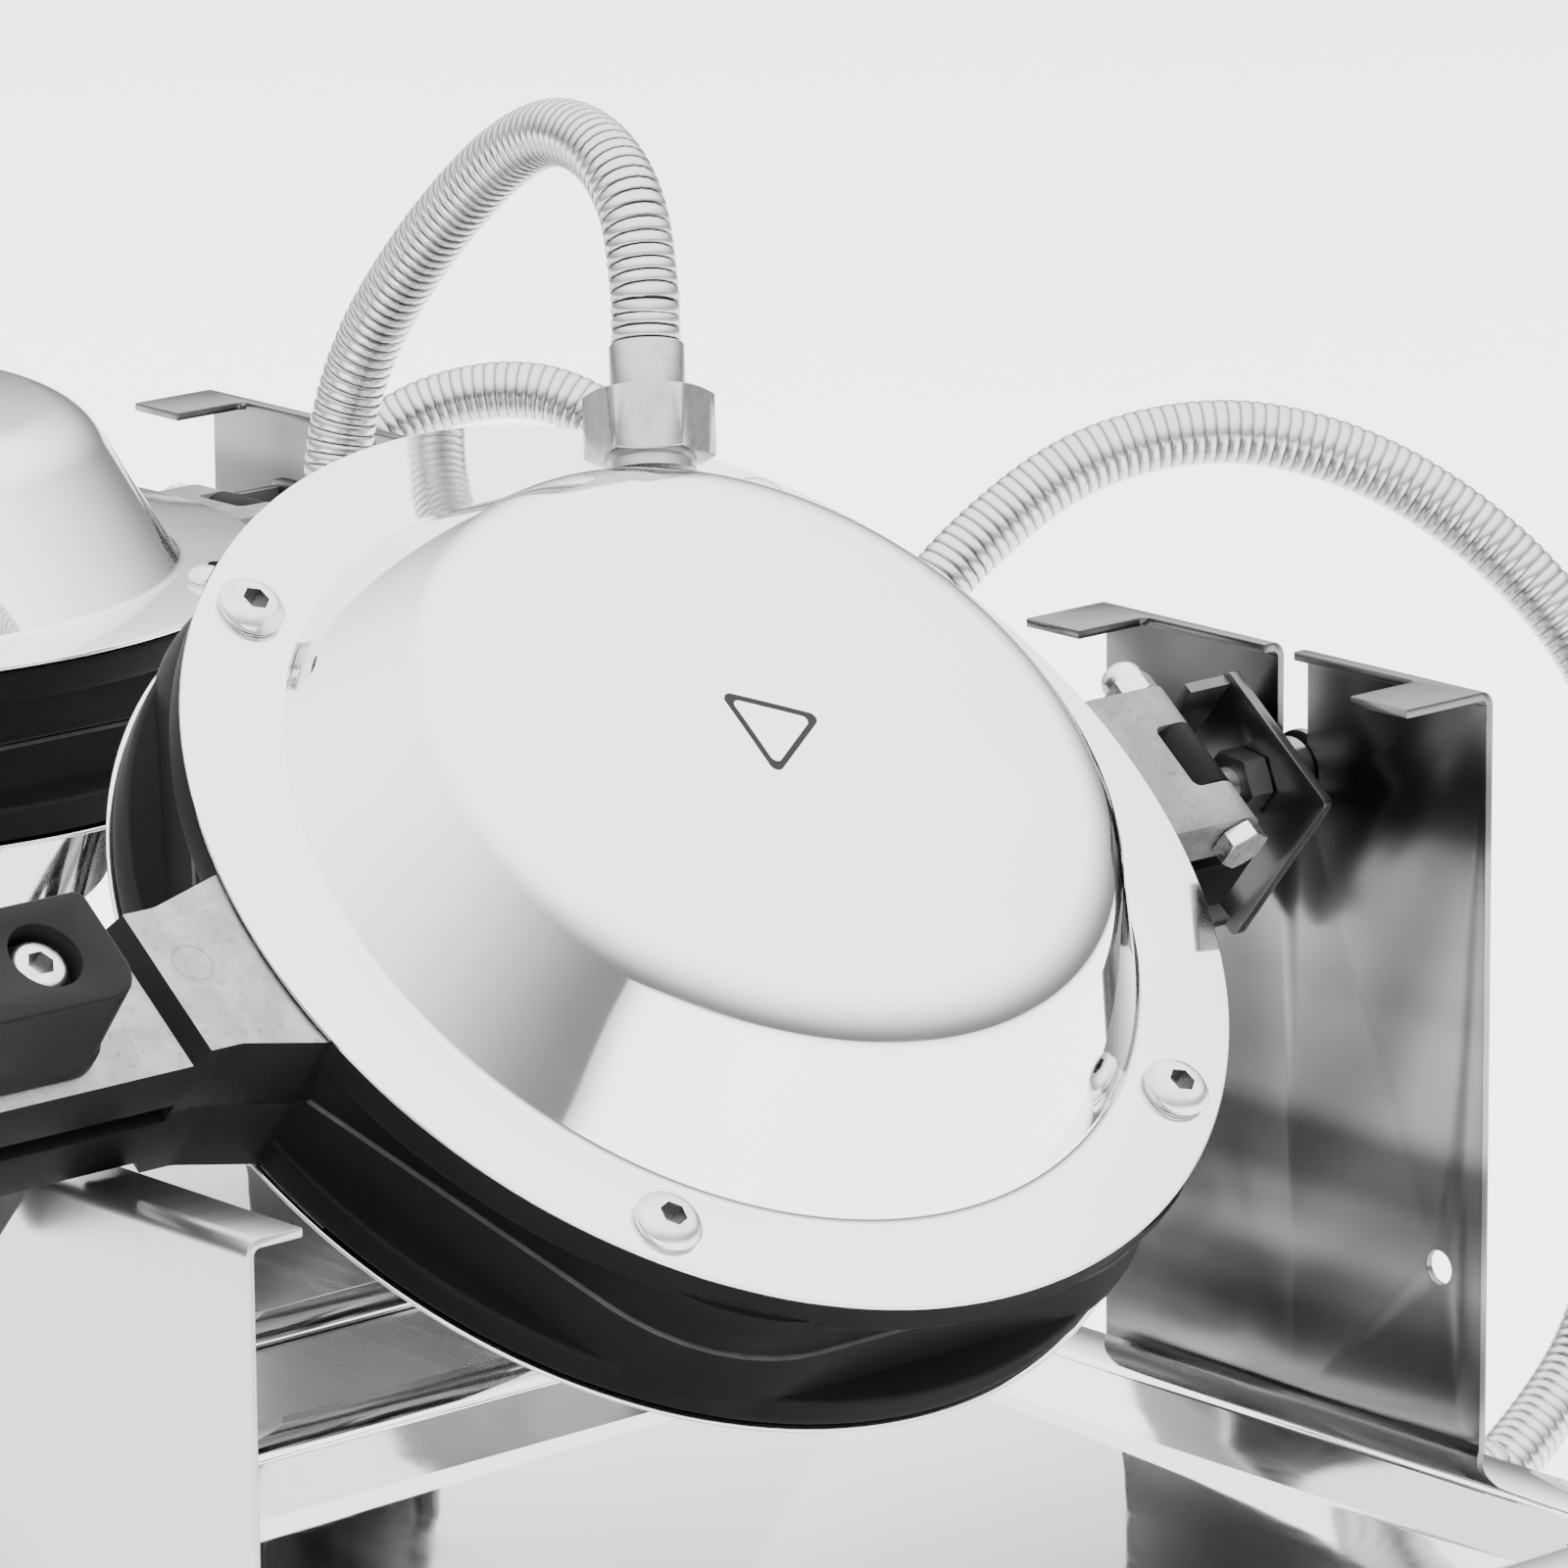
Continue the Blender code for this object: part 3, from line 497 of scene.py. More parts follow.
def loops_between(loops, caps=True):
    """Skin over rings of equal numbers of points."""
    bm = bmesh.new()
    rings = [[bm.verts.new(point) for point in loop] for loop in loops]
    count = len(rings[0])
    for low, high in zip(rings, rings[1:]):
        for i in range(count):
            j = (i + 1) % count
            bm.faces.new((low[i], low[j], high[j], high[i]))
    if caps:
        bm.faces.new(rings[0][::-1])
        bm.faces.new(rings[-1])
    bmesh.ops.recalc_face_normals(bm, faces=bm.faces)
    return from_bmesh(bm)


def corner_arc(before, here, after, radius, steps):
    """The points of an arc that rounds the corner between two neighbouring points."""
    before = (before - here).normalized()
    after = (after - here).normalized()
    half = before.angle(after) / 2
    reach = radius / tan(half)
    centre = here + (before + after).normalized() * (radius / sin(half))
    first = here + before * reach - centre
    last = here + after * reach - centre
    return [centre + first.lerp(last, k / steps).normalized() * radius for k in range(steps + 1)]


def rounded_corners(corners, radius=0.0, steps=6):
    """A closed outline with an arc at each corner; a corner may carry its own radius."""
    places = [Vector(corner[:2]) for corner in corners]
    points = []
    for i, corner in enumerate(corners):
        size = corner[2] if len(corner) > 2 else radius
        if size > 0:
            after = places[(i + 1) % len(places)]
            points += corner_arc(places[i - 1], places[i], after, size, steps)
        else:
            points.append(places[i])
    return points


def ring(corners, height, radius=0.0, steps=6):
    return [(p.x, p.y, height) for p in rounded_corners(corners, radius, steps)]


def rectangle(x, y, inset=0.0):
    return [(x[0] + inset, y[0] + inset), (x[1] - inset, y[0] + inset),
            (x[1] - inset, y[1] - inset), (x[0] + inset, y[1] - inset)]


def plate(corners, low, high, radius=0.0, steps=6):
    """A flat plate between two heights from its outline's corners."""
    return loops_between([ring(corners, height, radius, steps) for height in (low, high)])


def combined(base, steps):
    for operation, other in steps:
        boolean = base.modifiers.new(operation, "BOOLEAN")
        boolean.operation = operation
        boolean.solver = "EXACT"
        boolean.object = other
    result = as_mesh(base)
    for _, other in steps:
        bpy.data.objects.remove(other, do_unlink=True)
    return welded(result)


def cut(base, *cutters):
    return combined(base, [("DIFFERENCE", cutter) for cutter in cutters])


def union(*pieces):
    return combined(pieces[0], [("UNION", piece) for piece in pieces[1:]])


def group(*pieces):
    bm = bmesh.new()
    for piece in pieces:
        bm.from_mesh(piece.data)
        bpy.data.objects.remove(piece, do_unlink=True)
    return from_bmesh(bm)


def bevelled(piece, width, segments=2, angle=40):
    bevel = piece.modifiers.new("bevel", "BEVEL")
    bevel.width = width
    bevel.segments = segments
    bevel.limit_method = "ANGLE"
    bevel.angle_limit = radians(angle)
    bevel.use_clamp_overlap = True
    return as_mesh(piece)


def moved(piece, matrix):
    piece.data.transform(matrix)
    return piece


def radial(angle, out, height):
    return Vector((out * cos(angle), out * sin(angle), height))


def arc(centre, radius, start, end, steps):
    return [(centre[0] + radius * cos(a), centre[1] + radius * sin(a))
            for a in spaced(start, end, steps)]


def spaced(first, last, steps):
    """Evenly spaced values, both ends included."""
    return [first + (last - first) * i / steps for i in range(steps + 1)]


def crowned(radius, base, rise):
    """The profile of a rounded cap over a base height, up to the axis."""
    return [(radius * cos(a), base + rise * sin(a)) for a in spaced(0, pi / 2, 8)[1:]]


def set_piece(name, piece, material, body, matrix, nodes, slot, bare_and_shade=None):
    """Finish a guide: keep its maker's coordinates, carry it to its place and let it ride."""
    mesh = piece.data
    mesh.name = name
    made = [0.0] * (len(mesh.vertices) * 3)
    mesh.vertices.foreach_get("co", made)
    kept = mesh.attributes.new("made_at", "FLOAT_VECTOR", "POINT")
    kept.data.foreach_set("vector", made)
    # the face mark: bare metal on a casting, painted shade in a screw's socket
    if bare_and_shade:
        values = [bare_and_shade(face.center, face.normal) for face in mesh.polygons]
        mesh.attributes.new("mark", "FLOAT", "FACE").data.foreach_set("value", values)
    mesh.transform(matrix)
    mesh.materials.clear()
    mesh.materials.append(material)
    mesh.shade_smooth()
    mesh.set_sharp_from_angle(angle=SMOOTH_BELOW)
    bpy.data.objects.remove(piece, do_unlink=True)
    thing = guide(name, mesh)
    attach(thing, body)
    if nodes:
        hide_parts(*nodes)


# ------------------------------------------------------------------ node trees for what repeats

def tree_with(name, inputs):
    """A geometry tree with a Geometry input, named inputs and a Geometry output."""
    tree = bpy.data.node_groups.new(name, "GeometryNodeTree")
    tree.interface.new_socket("Geometry", in_out="INPUT", socket_type="NodeSocketGeometry")
    for label, kind in inputs:
        tree.interface.new_socket(label, in_out="INPUT", socket_type=kind)
    tree.interface.new_socket("Geometry", in_out="OUTPUT", socket_type="NodeSocketGeometry")
    return tree, tree.nodes.new("NodeGroupInput"), tree.nodes.new("NodeGroupOutput")


def add(tree, kind, links=None, **settings):
    node = tree.nodes.new(kind)
    for key, value in settings.items():
        setattr(node, key, value)
    for key, value in (links or {}).items():
        if isinstance(value, bpy.types.NodeSocket):
            tree.links.new(value, node.inputs[key])
        else:
            node.inputs[key].default_value = value
    return node


def maths(tree, operation, *values):
    return add(tree, "ShaderNodeMath", dict(enumerate(values)), operation=operation).outputs[0]


def closed_tree(tree, given, made, geometry):
    """The tree with its material put on the geometry and its output linked."""
    whole = add(tree, "GeometryNodeRealizeInstances", {"Geometry": geometry})
    done = add(tree, "GeometryNodeSetMaterial",
               {"Geometry": whole.outputs[0], "Material": given.outputs["Material"]})
    tree.links.new(done.outputs[0], made.inputs[0])
    return tree


def hose_tree():
    """Sweeps a ribbed round section along a curve, and keeps how high each point is on its rib."""
    tree, given, made = tree_with("hose_ribs", [
        ("Radius", "NodeSocketFloat"), ("Rib Pitch", "NodeSocketFloat"),
        ("Rib Depth", "NodeSocketFloat"), ("Material", "NodeSocketMaterial")])
    radius, pitch, depth = [given.outputs[name] for name in ("Radius", "Rib Pitch", "Rib Depth")]
    line = add(tree, "GeometryNodeResampleCurve", {
        "Curve": given.outputs["Geometry"], "Length": maths(tree, "DIVIDE", pitch, 8.0)},
        mode="LENGTH")
    along = add(tree, "GeometryNodeSplineParameter").outputs["Length"]
    phase = maths(tree, "MULTIPLY", maths(tree, "DIVIDE", along, pitch), pi)
    crest = maths(tree, "POWER", maths(tree, "ABSOLUTE", maths(tree, "SINE", phase)), 0.35)
    drop = maths(tree, "MULTIPLY", maths(tree, "SUBTRACT", 1.0, crest), depth)
    scale = maths(tree, "SUBTRACT", 1.0, maths(tree, "DIVIDE", drop, radius))
    named = add(tree, "GeometryNodeStoreNamedAttribute",
                {"Geometry": line.outputs[0], "Name": "crest", "Value": crest},
                data_type="FLOAT", domain="POINT")
    section = add(tree, "GeometryNodeCurvePrimitiveCircle", {"Resolution": 20, "Radius": radius})
    swept = add(tree, "GeometryNodeCurveToMesh", {
        "Curve": named.outputs[0], "Profile Curve": section.outputs[0],
        "Scale": scale, "Fill Caps": True})
    return closed_tree(tree, given, made, swept.outputs[0])


def copies_tree():
    """Puts a turned copy of a piece at each point of a circle, from its first angle on."""
    tree, given, made = tree_with("copies_round_a_circle", [
        ("Count", "NodeSocketInt"), ("Circle", "NodeSocketFloat"),
        ("First Angle", "NodeSocketFloat"), ("Step Angle", "NodeSocketFloat"),
        ("Material", "NodeSocketMaterial")])
    line = add(tree, "GeometryNodeMeshLine",
               {"Count": given.outputs["Count"], "Offset": (0, 0, 0)})
    number = add(tree, "GeometryNodeInputIndex").outputs[0]
    swing = maths(tree, "MULTIPLY", number, given.outputs["Step Angle"])
    angle = maths(tree, "ADD", swing, given.outputs["First Angle"])
    turn = add(tree, "ShaderNodeCombineXYZ", {"Z": angle})
    out = add(tree, "ShaderNodeCombineXYZ", {"X": given.outputs["Circle"]})
    spun = add(tree, "ShaderNodeVectorRotate", {"Vector": out.outputs[0], "Angle": angle},
               rotation_type="Z_AXIS")
    spread = add(tree, "GeometryNodeSetPosition",
                 {"Geometry": line.outputs[0], "Position": spun.outputs[0]})
    copies = add(tree, "GeometryNodeInstanceOnPoints", {
        "Points": spread.outputs[0], "Instance": given.outputs["Geometry"],
        "Rotation": turn.outputs[0]})
    return closed_tree(tree, given, made, copies.outputs[0])


def run_tree(thing, tree, values):
    """Work a tree into a plain mesh with the given named inputs."""
    modifier = thing.modifiers.new(tree.name, "NODES")
    modifier.node_group = tree
    for item in tree.interface.items_tree:
        if item.in_out == "INPUT" and item.name in values:
            modifier[item.identifier] = values[item.name]
    return as_mesh(thing)


def round_a_circle(piece, material, count, circle, first, step):
    return run_tree(piece, TREES["copies"], {"Count": count, "Circle": circle,
                    "First Angle": first, "Step Angle": step, "Material": material})


# ------------------------------------------------------------------ hoses

JUMPER_ROUTE = [(0.1300, 0.0686), (0.146, 0.0672), (0.1605, 0.0600), (0.1710, 0.0495),
                (0.1795, 0.0330), (0.1858, 0.0100), (0.1890, -0.0130), (0.1888, -0.0330),
                (0.1835, -0.0500), (0.1730, -0.0625), (0.1580, -0.0695), (0.1410, -0.0710),
                (0.1250, -0.0685)]
FEED_ROUTE = {
    "right": [(-0.104, 0.130, -0.0090), (-0.107, 0.155, 0.0110),
              (-0.105, 0.181, 0.0320), (-0.096, 0.207, 0.0480), (-0.080, 0.233, 0.0530),
              (-0.061, 0.256, 0.0460), (-0.041, 0.274, 0.0300), (-0.023, 0.286, 0.0080),
              (-0.009, 0.291, -0.0190), (0.002, 0.289, -0.0490), (0.010, 0.280, -0.0790),
              (0.017, 0.265, -0.1090), (0.023, 0.243, -0.1400)],
    "left": [(-0.075, 0.132, -0.0735), (-0.081, 0.152, -0.0660),
             (-0.089, 0.178, -0.0500), (-0.091, 0.204, -0.0300), (-0.086, 0.231, -0.0080),
             (-0.073, 0.255, 0.0090), (-0.053, 0.274, 0.0130), (-0.032, 0.286, 0.0020),
             (-0.014, 0.292, -0.0200), (0.000, 0.291, -0.0490), (0.010, 0.282, -0.0790),
             (0.017, 0.267, -0.1090), (0.023, 0.244, -0.1400)]}


def smooth_route(points, count):
    """Points on a Catmull-Rom curve through a route."""
    ends = [2 * points[0] - points[1]] + points + [2 * points[-1] - points[-2]]
    spans = len(points) - 1
    route = []
    for i in range(count):
        place = i / (count - 1) * spans
        k = min(int(place), spans - 1)
        t = place - k
        a, b, c, d = ends[k:k + 4]
        route.append(0.5 * (2 * b + (c - a) * t + (2 * a - 5 * b + 4 * c - d) * t ** 2
                            + (3 * b - a - 3 * c + d) * t ** 3))
    return route


def straight_end(place, way):
    return [place, place + way * 0.005, place + way * 0.011]


def fitting_line(angle, side):
    """Where a fitting stands on a cover's wall, its direction and the place of its end."""
    out = WALL_FOOT_RADIUS - FITTING_WALL_HEIGHT / sqrt(3)
    foot = radial(angle, out, side * (FLANGE_HEIGHT + FITTING_WALL_HEIGHT))
    way = radial(angle, cos(FITTING_TILT), side * sin(FITTING_TILT))
    return foot, way, foot + way * (FERRULE_END + GAP)


def make_hose(name, route, material, node, ends):
    """The ribbed tube along a route, in place of the CAD hose, which is hidden."""
    path = smooth_route(route, HOSE_POINTS)
    curve = bpy.data.curves.new(name, "CURVE")
    curve.dimensions = "3D"
    spline = curve.splines.new("POLY")
    spline.points.add(len(path) - 1)
    for point, place in zip(spline.points, path):
        point.co = (*place, 1.0)
    tube = run_tree(guide(name, curve), TREES["hose"], {
        "Radius": RIB_CREST, "Rib Pitch": RIB_PITCH, "Rib Depth": RIB_DEPTH,
        "Material": material})
    tube.data.name = name
    tube.data.shade_smooth()
    tube.data.set_sharp_from_angle(angle=radians(70))
    length = round(sum((b - a).length for a, b in zip(path, path[1:])), 3)
    path = path[::5] + path[-1:]
    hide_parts(node)
    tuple(ends[0])
    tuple(ends[1])
    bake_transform(tube)
    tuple(path[0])


def make_hoses(material):
    for side in UNIT_X:
        pan, stand = PAN[side], STAND[side]
        _, top_way, top = fitting_line(JUMPER_ANGLE, 1)
        _, low_way, low = fitting_line(JUMPER_ANGLE, -1)
        route = straight_end(top, top_way)
        route += [radial(JUMPER_ANGLE, out, height) for out, height in JUMPER_ROUTE]
        route += straight_end(low, low_way)[::-1]
        make_hose(f"{side}_ribbed_jumper_hose", [pan @ point for point in route], material,
                  f"{side}_jumper_hose", (pan @ top, pan @ low))
        _, feed_way, feed = fitting_line(FEED_ANGLE, -1)
        end = Vector((GLAND_X, BASE_REAR + FERRULE_END + GAP, GLAND_Z))
        route = straight_end(pan @ feed, pan.to_3x3() @ feed_way)
        route += [stand @ Vector(point) for point in FEED_ROUTE[side]]
        route += [stand @ point for point in straight_end(end, Vector((0, 1, 0)))[::-1]]
        make_hose(f"{side}_ribbed_feed_hose", route, material, f"{side}_feed_hose",
                  (pan @ feed, stand @ end))


# ------------------------------------------------------------------ pans

def mould_block():
    """Hexagonal block with rounded corners that widens a little towards the rim."""
    loops = []
    for height, wider in ((0.00015, -0.0007), (0.0008, 0.0), (0.0100, BLOCK_DRAFT),
                          (RIM_LOW + 0.002, BLOCK_DRAFT)):
        reach = (BLOCK_APOTHEM + wider) / cos(pi / 6)
        corners = [(reach * cos(a), reach * sin(a))
                   for a in [radians(30 + 60 * i) for i in range(6)]]
        loops.append(ring(corners, height, BLOCK_ROUNDING, 8))
    return loops_between(loops)


def rim_disc():
    """Disc above the block, with its outer edge rounded at both faces."""
    edge = 0.0012
    profile = [(0.0, RIM_LOW), (RIM_RADIUS - edge, RIM_LOW)]
    profile += arc((RIM_RADIUS - edge, RIM_LOW + edge), edge, -pi / 2, 0, 4)[1:]
    profile += arc((RIM_RADIUS - edge, RIM_HIGH - edge), edge, 0, pi / 2, 4)
    return lathe(profile + [(0.0, RIM_HIGH)], 144)


def arm():
    """Handle arm: flared root, sloping step down to the grip's shelf, relieved underneath."""
    sides = [(0.0172, -0.283, 0.002), (0.0172, -0.131, 0.010),
             (0.0215, -0.113, 0.006), (0.0215, -0.098, 0)]
    sides += [(-x, y, corner) for x, y, corner in reversed(sides)]
    slab = plate(sides, 0.00015, RIM_HIGH, steps=4)
    step = [(-0.30, 0.0149), (-0.1412, 0.0149), (-0.1383, 0.0195), (-0.1383, 0.03), (-0.30, 0.03)]
    over = moved(plate(step, -0.03, 0.03),
                 Matrix(((0, 0, 1, 0), (1, 0, 0, 0), (0, 1, 0, 0), (0, 0, 0, 1))))
    under = box((-0.03, 0.03), (-0.30, -0.140), (-0.01, 0.0025))
    return cut(slab, over, under)


def donut_rings():
    """Seven ring cavities of round section, one in the middle and six round it."""
    section = [(DONUT_RADIUS + DONUT_DEPTH * cos(a), DONUT_DEPTH * sin(a))
               for a in [2 * pi * i / 24 for i in range(24)]]
    rings = []
    for centre in [Vector((0, 0, 0))] + [radial(radians(60 * i), DONUT_CIRCLE, 0)
                                         for i in range(6)]:
        loops = [[radial(2 * pi * k / 56, r, z) for r, z in section] for k in range(56)]
        whole = welded(loops_between(loops + [loops[0]], caps=False))
        rings.append(moved(whole, Matrix.Translation(centre)))
    return group(*rings)


def across_hinge(radius, half, sides=48):
    return rod(radius, (-half, HINGE_Y, HINGE_HEIGHT), (half, HINGE_Y, HINGE_HEIGHT), sides)


def pan_blank():
    return union(mould_block(), rim_disc(), arm())


def upper_casting():
    """The casting with the hinge's fork."""
    tongue = box((-HINGE_HALF, HINGE_HALF), (0.095, HINGE_Y),
                 (HINGE_HEIGHT - HINGE_EYE, HINGE_HEIGHT + HINGE_EYE))
    slot = plate([(-0.0083, 0.131, 0.002), (0.0083, 0.131, 0.002), (0.0083, 0.16, 0),
                  (-0.0083, 0.16, 0)], -0.01, 0.03, steps=4)
    body = combined(pan_blank(), [
        ("UNION", tongue), ("UNION", across_hinge(HINGE_EYE, HINGE_HALF)),
        ("DIFFERENCE", slot), ("DIFFERENCE", across_hinge(PIN_BORE, 0.03, 32)),
        ("DIFFERENCE", donut_rings())])
    return bevelled(body, 0.0005, 2, 38)


def lower_casting():
    """The same casting turned over, with the pivot bolt's block and the hinge knuckle."""
    block = box((-HINGE_HALF, HINGE_HALF), (0.095, 0.150), (-0.0155, -0.0005))
    neck = box((-NECK_HALF, NECK_HALF), (HINGE_Y - HINGE_EYE, HINGE_Y + HINGE_EYE),
               (-0.010, HINGE_HEIGHT))
    bolt = rod(BOLT_BORE, (0, 0.145, -0.0077), (0, 0.16, -0.0077), 32)
    body = combined(moved(pan_blank(), HALF_TURN), [
        ("UNION", block), ("UNION", neck), ("UNION", across_hinge(HINGE_EYE, NECK_HALF)),
        ("DIFFERENCE", across_hinge(PIN_BORE, 0.03, 32)), ("DIFFERENCE", bolt),
        ("DIFFERENCE", donut_rings())])
    return bevelled(body, 0.0005, 2, 38)


def bare_half(sign):
    """How bare a face of the upper (1) or lower (-1) casting is: machined or worn at an edge."""
    def bare_and_shade(centre, normal):
        if sign > 0 and centre.y > 0.1125 and centre.z > 0.003:
            return 0.6
        if centre.y < -0.106 and normal.z * sign > 0.9 and centre.z * sign > 0.012:
            return 1.0
        return 0.10 if abs(centre.z) < 0.0009 and 0.2 < abs(normal.z) < 0.98 else 0.0
    return bare_and_shade

def crown_height(radius):
    """Height of a cover's outer face over the crown."""
    crown_radius, crown_edge = cover_bend(CROWN_SLOPE)
    return FLANGE_HEIGHT + crown_edge + CROWN_RISE * (1 - (radius / crown_radius) ** 2)


def cover_bend(slope):
    wall_top = WALL_FOOT_RADIUS - WALL_HEIGHT / sqrt(3)
    centre = (wall_top - KNUCKLE * sin(WALL_SLOPE), WALL_HEIGHT - KNUCKLE * cos(WALL_SLOPE))
    return centre[0] + KNUCKLE * sin(slope), centre[1] + KNUCKLE * cos(slope)


def cover():
    """Pressed cover: domed crown, round knuckle, steep wall, small foot radius, flat flange."""
    crown_radius, _ = cover_bend(CROWN_SLOPE)
    fillet = 0.0022
    lip = 0.0004
    outer = [(r, crown_height(r) - FLANGE_HEIGHT) for r in spaced(0.0, crown_radius, 14)]
    outer += [cover_bend(slope) for slope in spaced(CROWN_SLOPE, WALL_SLOPE, 14)[1:]]
    foot = (WALL_FOOT_RADIUS + fillet * tan(radians(30)), fillet)
    outer += arc(foot, fillet, radians(210), radians(270), 5)
    outer += arc((FLANGE_RADIUS - lip, -lip), lip, pi / 2, 0, 3)
    inner = arc((FLANGE_RADIUS - lip, lip - SHEET), lip, 0, -pi / 2, 3)
    inner += [(foot[0] + SHEET * 0.2, -SHEET), (WALL_FOOT_RADIUS - SHEET, 0.0)]
    for slope in spaced(WALL_SLOPE, CROWN_SLOPE, 6):
        r, z = cover_bend(slope)
        inner.append((r - SHEET * sin(slope), z - SHEET * cos(slope)))
    inner.append((0.0, crown_height(0.0) - FLANGE_HEIGHT - SHEET))
    return lathe([(r, z + FLANGE_HEIGHT) for r, z in outer + inner], 160)


def socket_screw(head, sides, floor):
    """A turned head with a hexagon socket down to a floor."""
    return cut(lathe(head, sides), rod(SOCKET, (0, 0, floor), (0, 0, SOCKET_TOP), 6))


def button_screw():
    """Button-head screw, standing on the height 0."""
    return socket_screw([(0.0, 0.0), (0.0067, 0.0), (0.0067, 0.0004), (0.0070, 0.0005),
                         (0.0071, 0.0013), (0.0069, 0.0017), (0.0060, 0.0027),
                         (0.0050, 0.0034), (0.0044, 0.0036), (0.0, 0.0036)], 48, 0.0010)


def painted_socket_shade(centre, normal):
    """1 on the walls and the floor of a screw's hexagon socket, where plated_steel paints shade.
    """
    middles = [radial(angle, SCREW_CIRCLE, 0).to_2d() for angle in SCREW_ANGLES]
    middles += [Vector((0, y)) for y in GRIP_SCREWS]
    near = min((centre.to_2d() - middle).length for middle in middles)
    return 1.0 if near < SOCKET + 0.00002 and abs(normal.z) < 0.5 or near < 0.0004 else 0.0


def cover_screws(material):
    screws = [round_a_circle(button_screw(), material, 2, SCREW_CIRCLE, first, second - first)
              for first, second in (SCREW_ANGLES[:2], SCREW_ANGLES[2:])]
    return moved(group(*screws), Matrix.Translation((0, 0, FLANGE_HEIGHT + 0.0001)))


def triangle_mark():
    """Blank triangular outline printed on the crown."""
    size, low, corner, arc_steps = 0.0225, -0.0130, 0.0016, 6
    corners = [(-size / 2, low), (size / 2, low), (0.0, low + size * 0.866)]
    centre = Vector((0.0, low + size * 0.2887))
    loops = []
    for scale, lift in ((1.0, -0.0002), (1.0, 0.00008), (0.80, 0.00008), (0.80, -0.0002)):
        shrunk = [(*((Vector(c) - centre) * scale + centre), corner * scale) for c in corners]
        points = rounded_corners(shrunk, steps=arc_steps)
        fine = []
        for i, point in enumerate(points):
            steps = 12 if i % (arc_steps + 1) == arc_steps else 1
            after = points[(i + 1) % len(points)]
            fine += [point.lerp(after, k / steps) for k in range(steps)]
        loops.append([(p.x, p.y, crown_height(p.length) + lift) for p in fine])
    return welded(loops_between(loops + [loops[0]], caps=False))


def grip():
    """Moulded grip: round inner end, soft edges, a lip above its bottom, two counterbores."""
    half, outer, inner, soft = 0.0135, -0.2865, -0.1595, 0.0009
    outline = [(-half, outer, 0.004), (half, outer, 0.004),
               (half, inner, 0.0085), (-half, inner, 0.0030)]
    low = ARM_SHELF + GAP
    levels = [(0.0005, low), (0.0005, low + 0.0034), (-0.0001, low + 0.0038)]
    levels += [(-0.0006 - soft * (1 - cos(a)), GRIP_TOP - soft + soft * sin(a))
               for a in spaced(0, pi / 2, 6)]
    loops = []
    for spread, height in levels:
        corners = [(x + (spread if x > 0 else -spread), y + (spread if y > -0.2 else -spread),
                    corner + spread) for x, y, corner in outline]
        loops.append(ring(corners, height, steps=8))
    bores = [rod(0.0075, (0, y, GRIP_TOP - 0.0062), (0, y, GRIP_TOP + 0.01))
             for y in GRIP_SCREWS]
    return bevelled(cut(loops_between(loops), *bores), 0.0004, 2, 50)


def grip_screws():
    screws = []
    for y in GRIP_SCREWS:
        screw = socket_screw([(0.0, 0.0), (0.0056, 0.0), (0.0057, 0.0002), (0.0057, 0.0030),
                              (0.0052, 0.0036), (0.0046, 0.0038), (0.0, 0.0038)], 40, 0.0016)
        screws.append(moved(screw, Matrix.Translation((0, y, GRIP_TOP - 0.0061))))
    return group(*screws)


def fitting(angle, side):
    foot, way, _ = fitting_line(angle, side)
    return fitting_parts(foot, way)


def fitting_parts(foot, way):
    """Washer, chamfered hexagon nut and ferrule with a rolled mouth."""
    washer = rod(0.0095, foot + way * 0.0006, foot + way * 0.0034)
    nut = hexagon(0.0236, foot + way * NUT_LOW, foot + way * NUT_HIGH, 0.0012)
    span = FERRULE_END - NUT_HIGH
    tube = lathe([(0, -0.001), (0.0078, -0.001), (0.0078, span - 0.0005), (0.0075, span),
                  (0, span)], 48, foot + way * NUT_HIGH, foot + way * (NUT_HIGH + 1.0))
    return group(washer, bevelled(nut, 0.0002, 1, 20), tube)


def hinge_hardware():
    """Bolt across the fork, and the acorn nut on its far end."""
    def at(x):
        return (x, HINGE_Y, HINGE_HEIGHT)
    head = hexagon(0.010, at(0.0188), at(0.0228), 0.0005)
    shank = rod(0.0030, at(-0.019), at(0.0195), 32)
    nut = hexagon(0.010, at(-0.0188), at(-0.0237), 0.0005)
    dome = [(0.0, 0.0), (0.0047, 0.0), (0.0047, 0.0018)] + crowned(0.0047, 0.0018, 0.0040)
    return group(head, shank, nut, lathe(dome, 40, at(-0.0233), at(-1.0)))


def pivot_plate():
    """Folded plate with rounded corners, a side flange and a foot flange."""
    outline = [(-0.020, -0.0165, 0.001), (-0.0055, -0.031, 0.001), (0.0185, -0.031, 0.0015),
               (0.0185, 0.0133, 0.0015), (-0.020, 0.0133, 0.0015)]
    stand = Matrix.Translation((0, 0.1655, 0)) @ UPRIGHT
    face = moved(plate(outline, 0.0, 0.0025, steps=5), stand)
    side = box((-0.020, -0.0175), (0.1515, 0.1645), (-0.0160, 0.0115))
    foot = box((-0.0050, 0.0150), (0.1515, 0.1645), (-0.031, -0.0285))
    hole = rod(BOLT_BORE, (0, 0.15, 0), (0, 0.18, 0), 32)
    body = combined(face, [("UNION", side), ("UNION", foot), ("DIFFERENCE", hole)])
    return bevelled(body, 0.0007, 2, 40)


def pivot_hardware():
    """The pivot bolt with its spacer, washer and nut."""
    def at(y):
        return (0, y, 0)
    head = hexagon(0.013, at(0.1627), at(0.1560), 0.0006)
    shank = rod(0.0040, at(0.1503), at(0.1868), 40)
    spacer = rod(0.0075, at(0.1658), at(0.1750), 40)
    washer = bevelled(rod(0.0085, at(0.1776), at(0.1793)), 0.0002, 1)
    nut = hexagon(0.013, at(0.1795), at(0.1858), 0.0006)
    return group(head, shank, spacer, washer, nut)


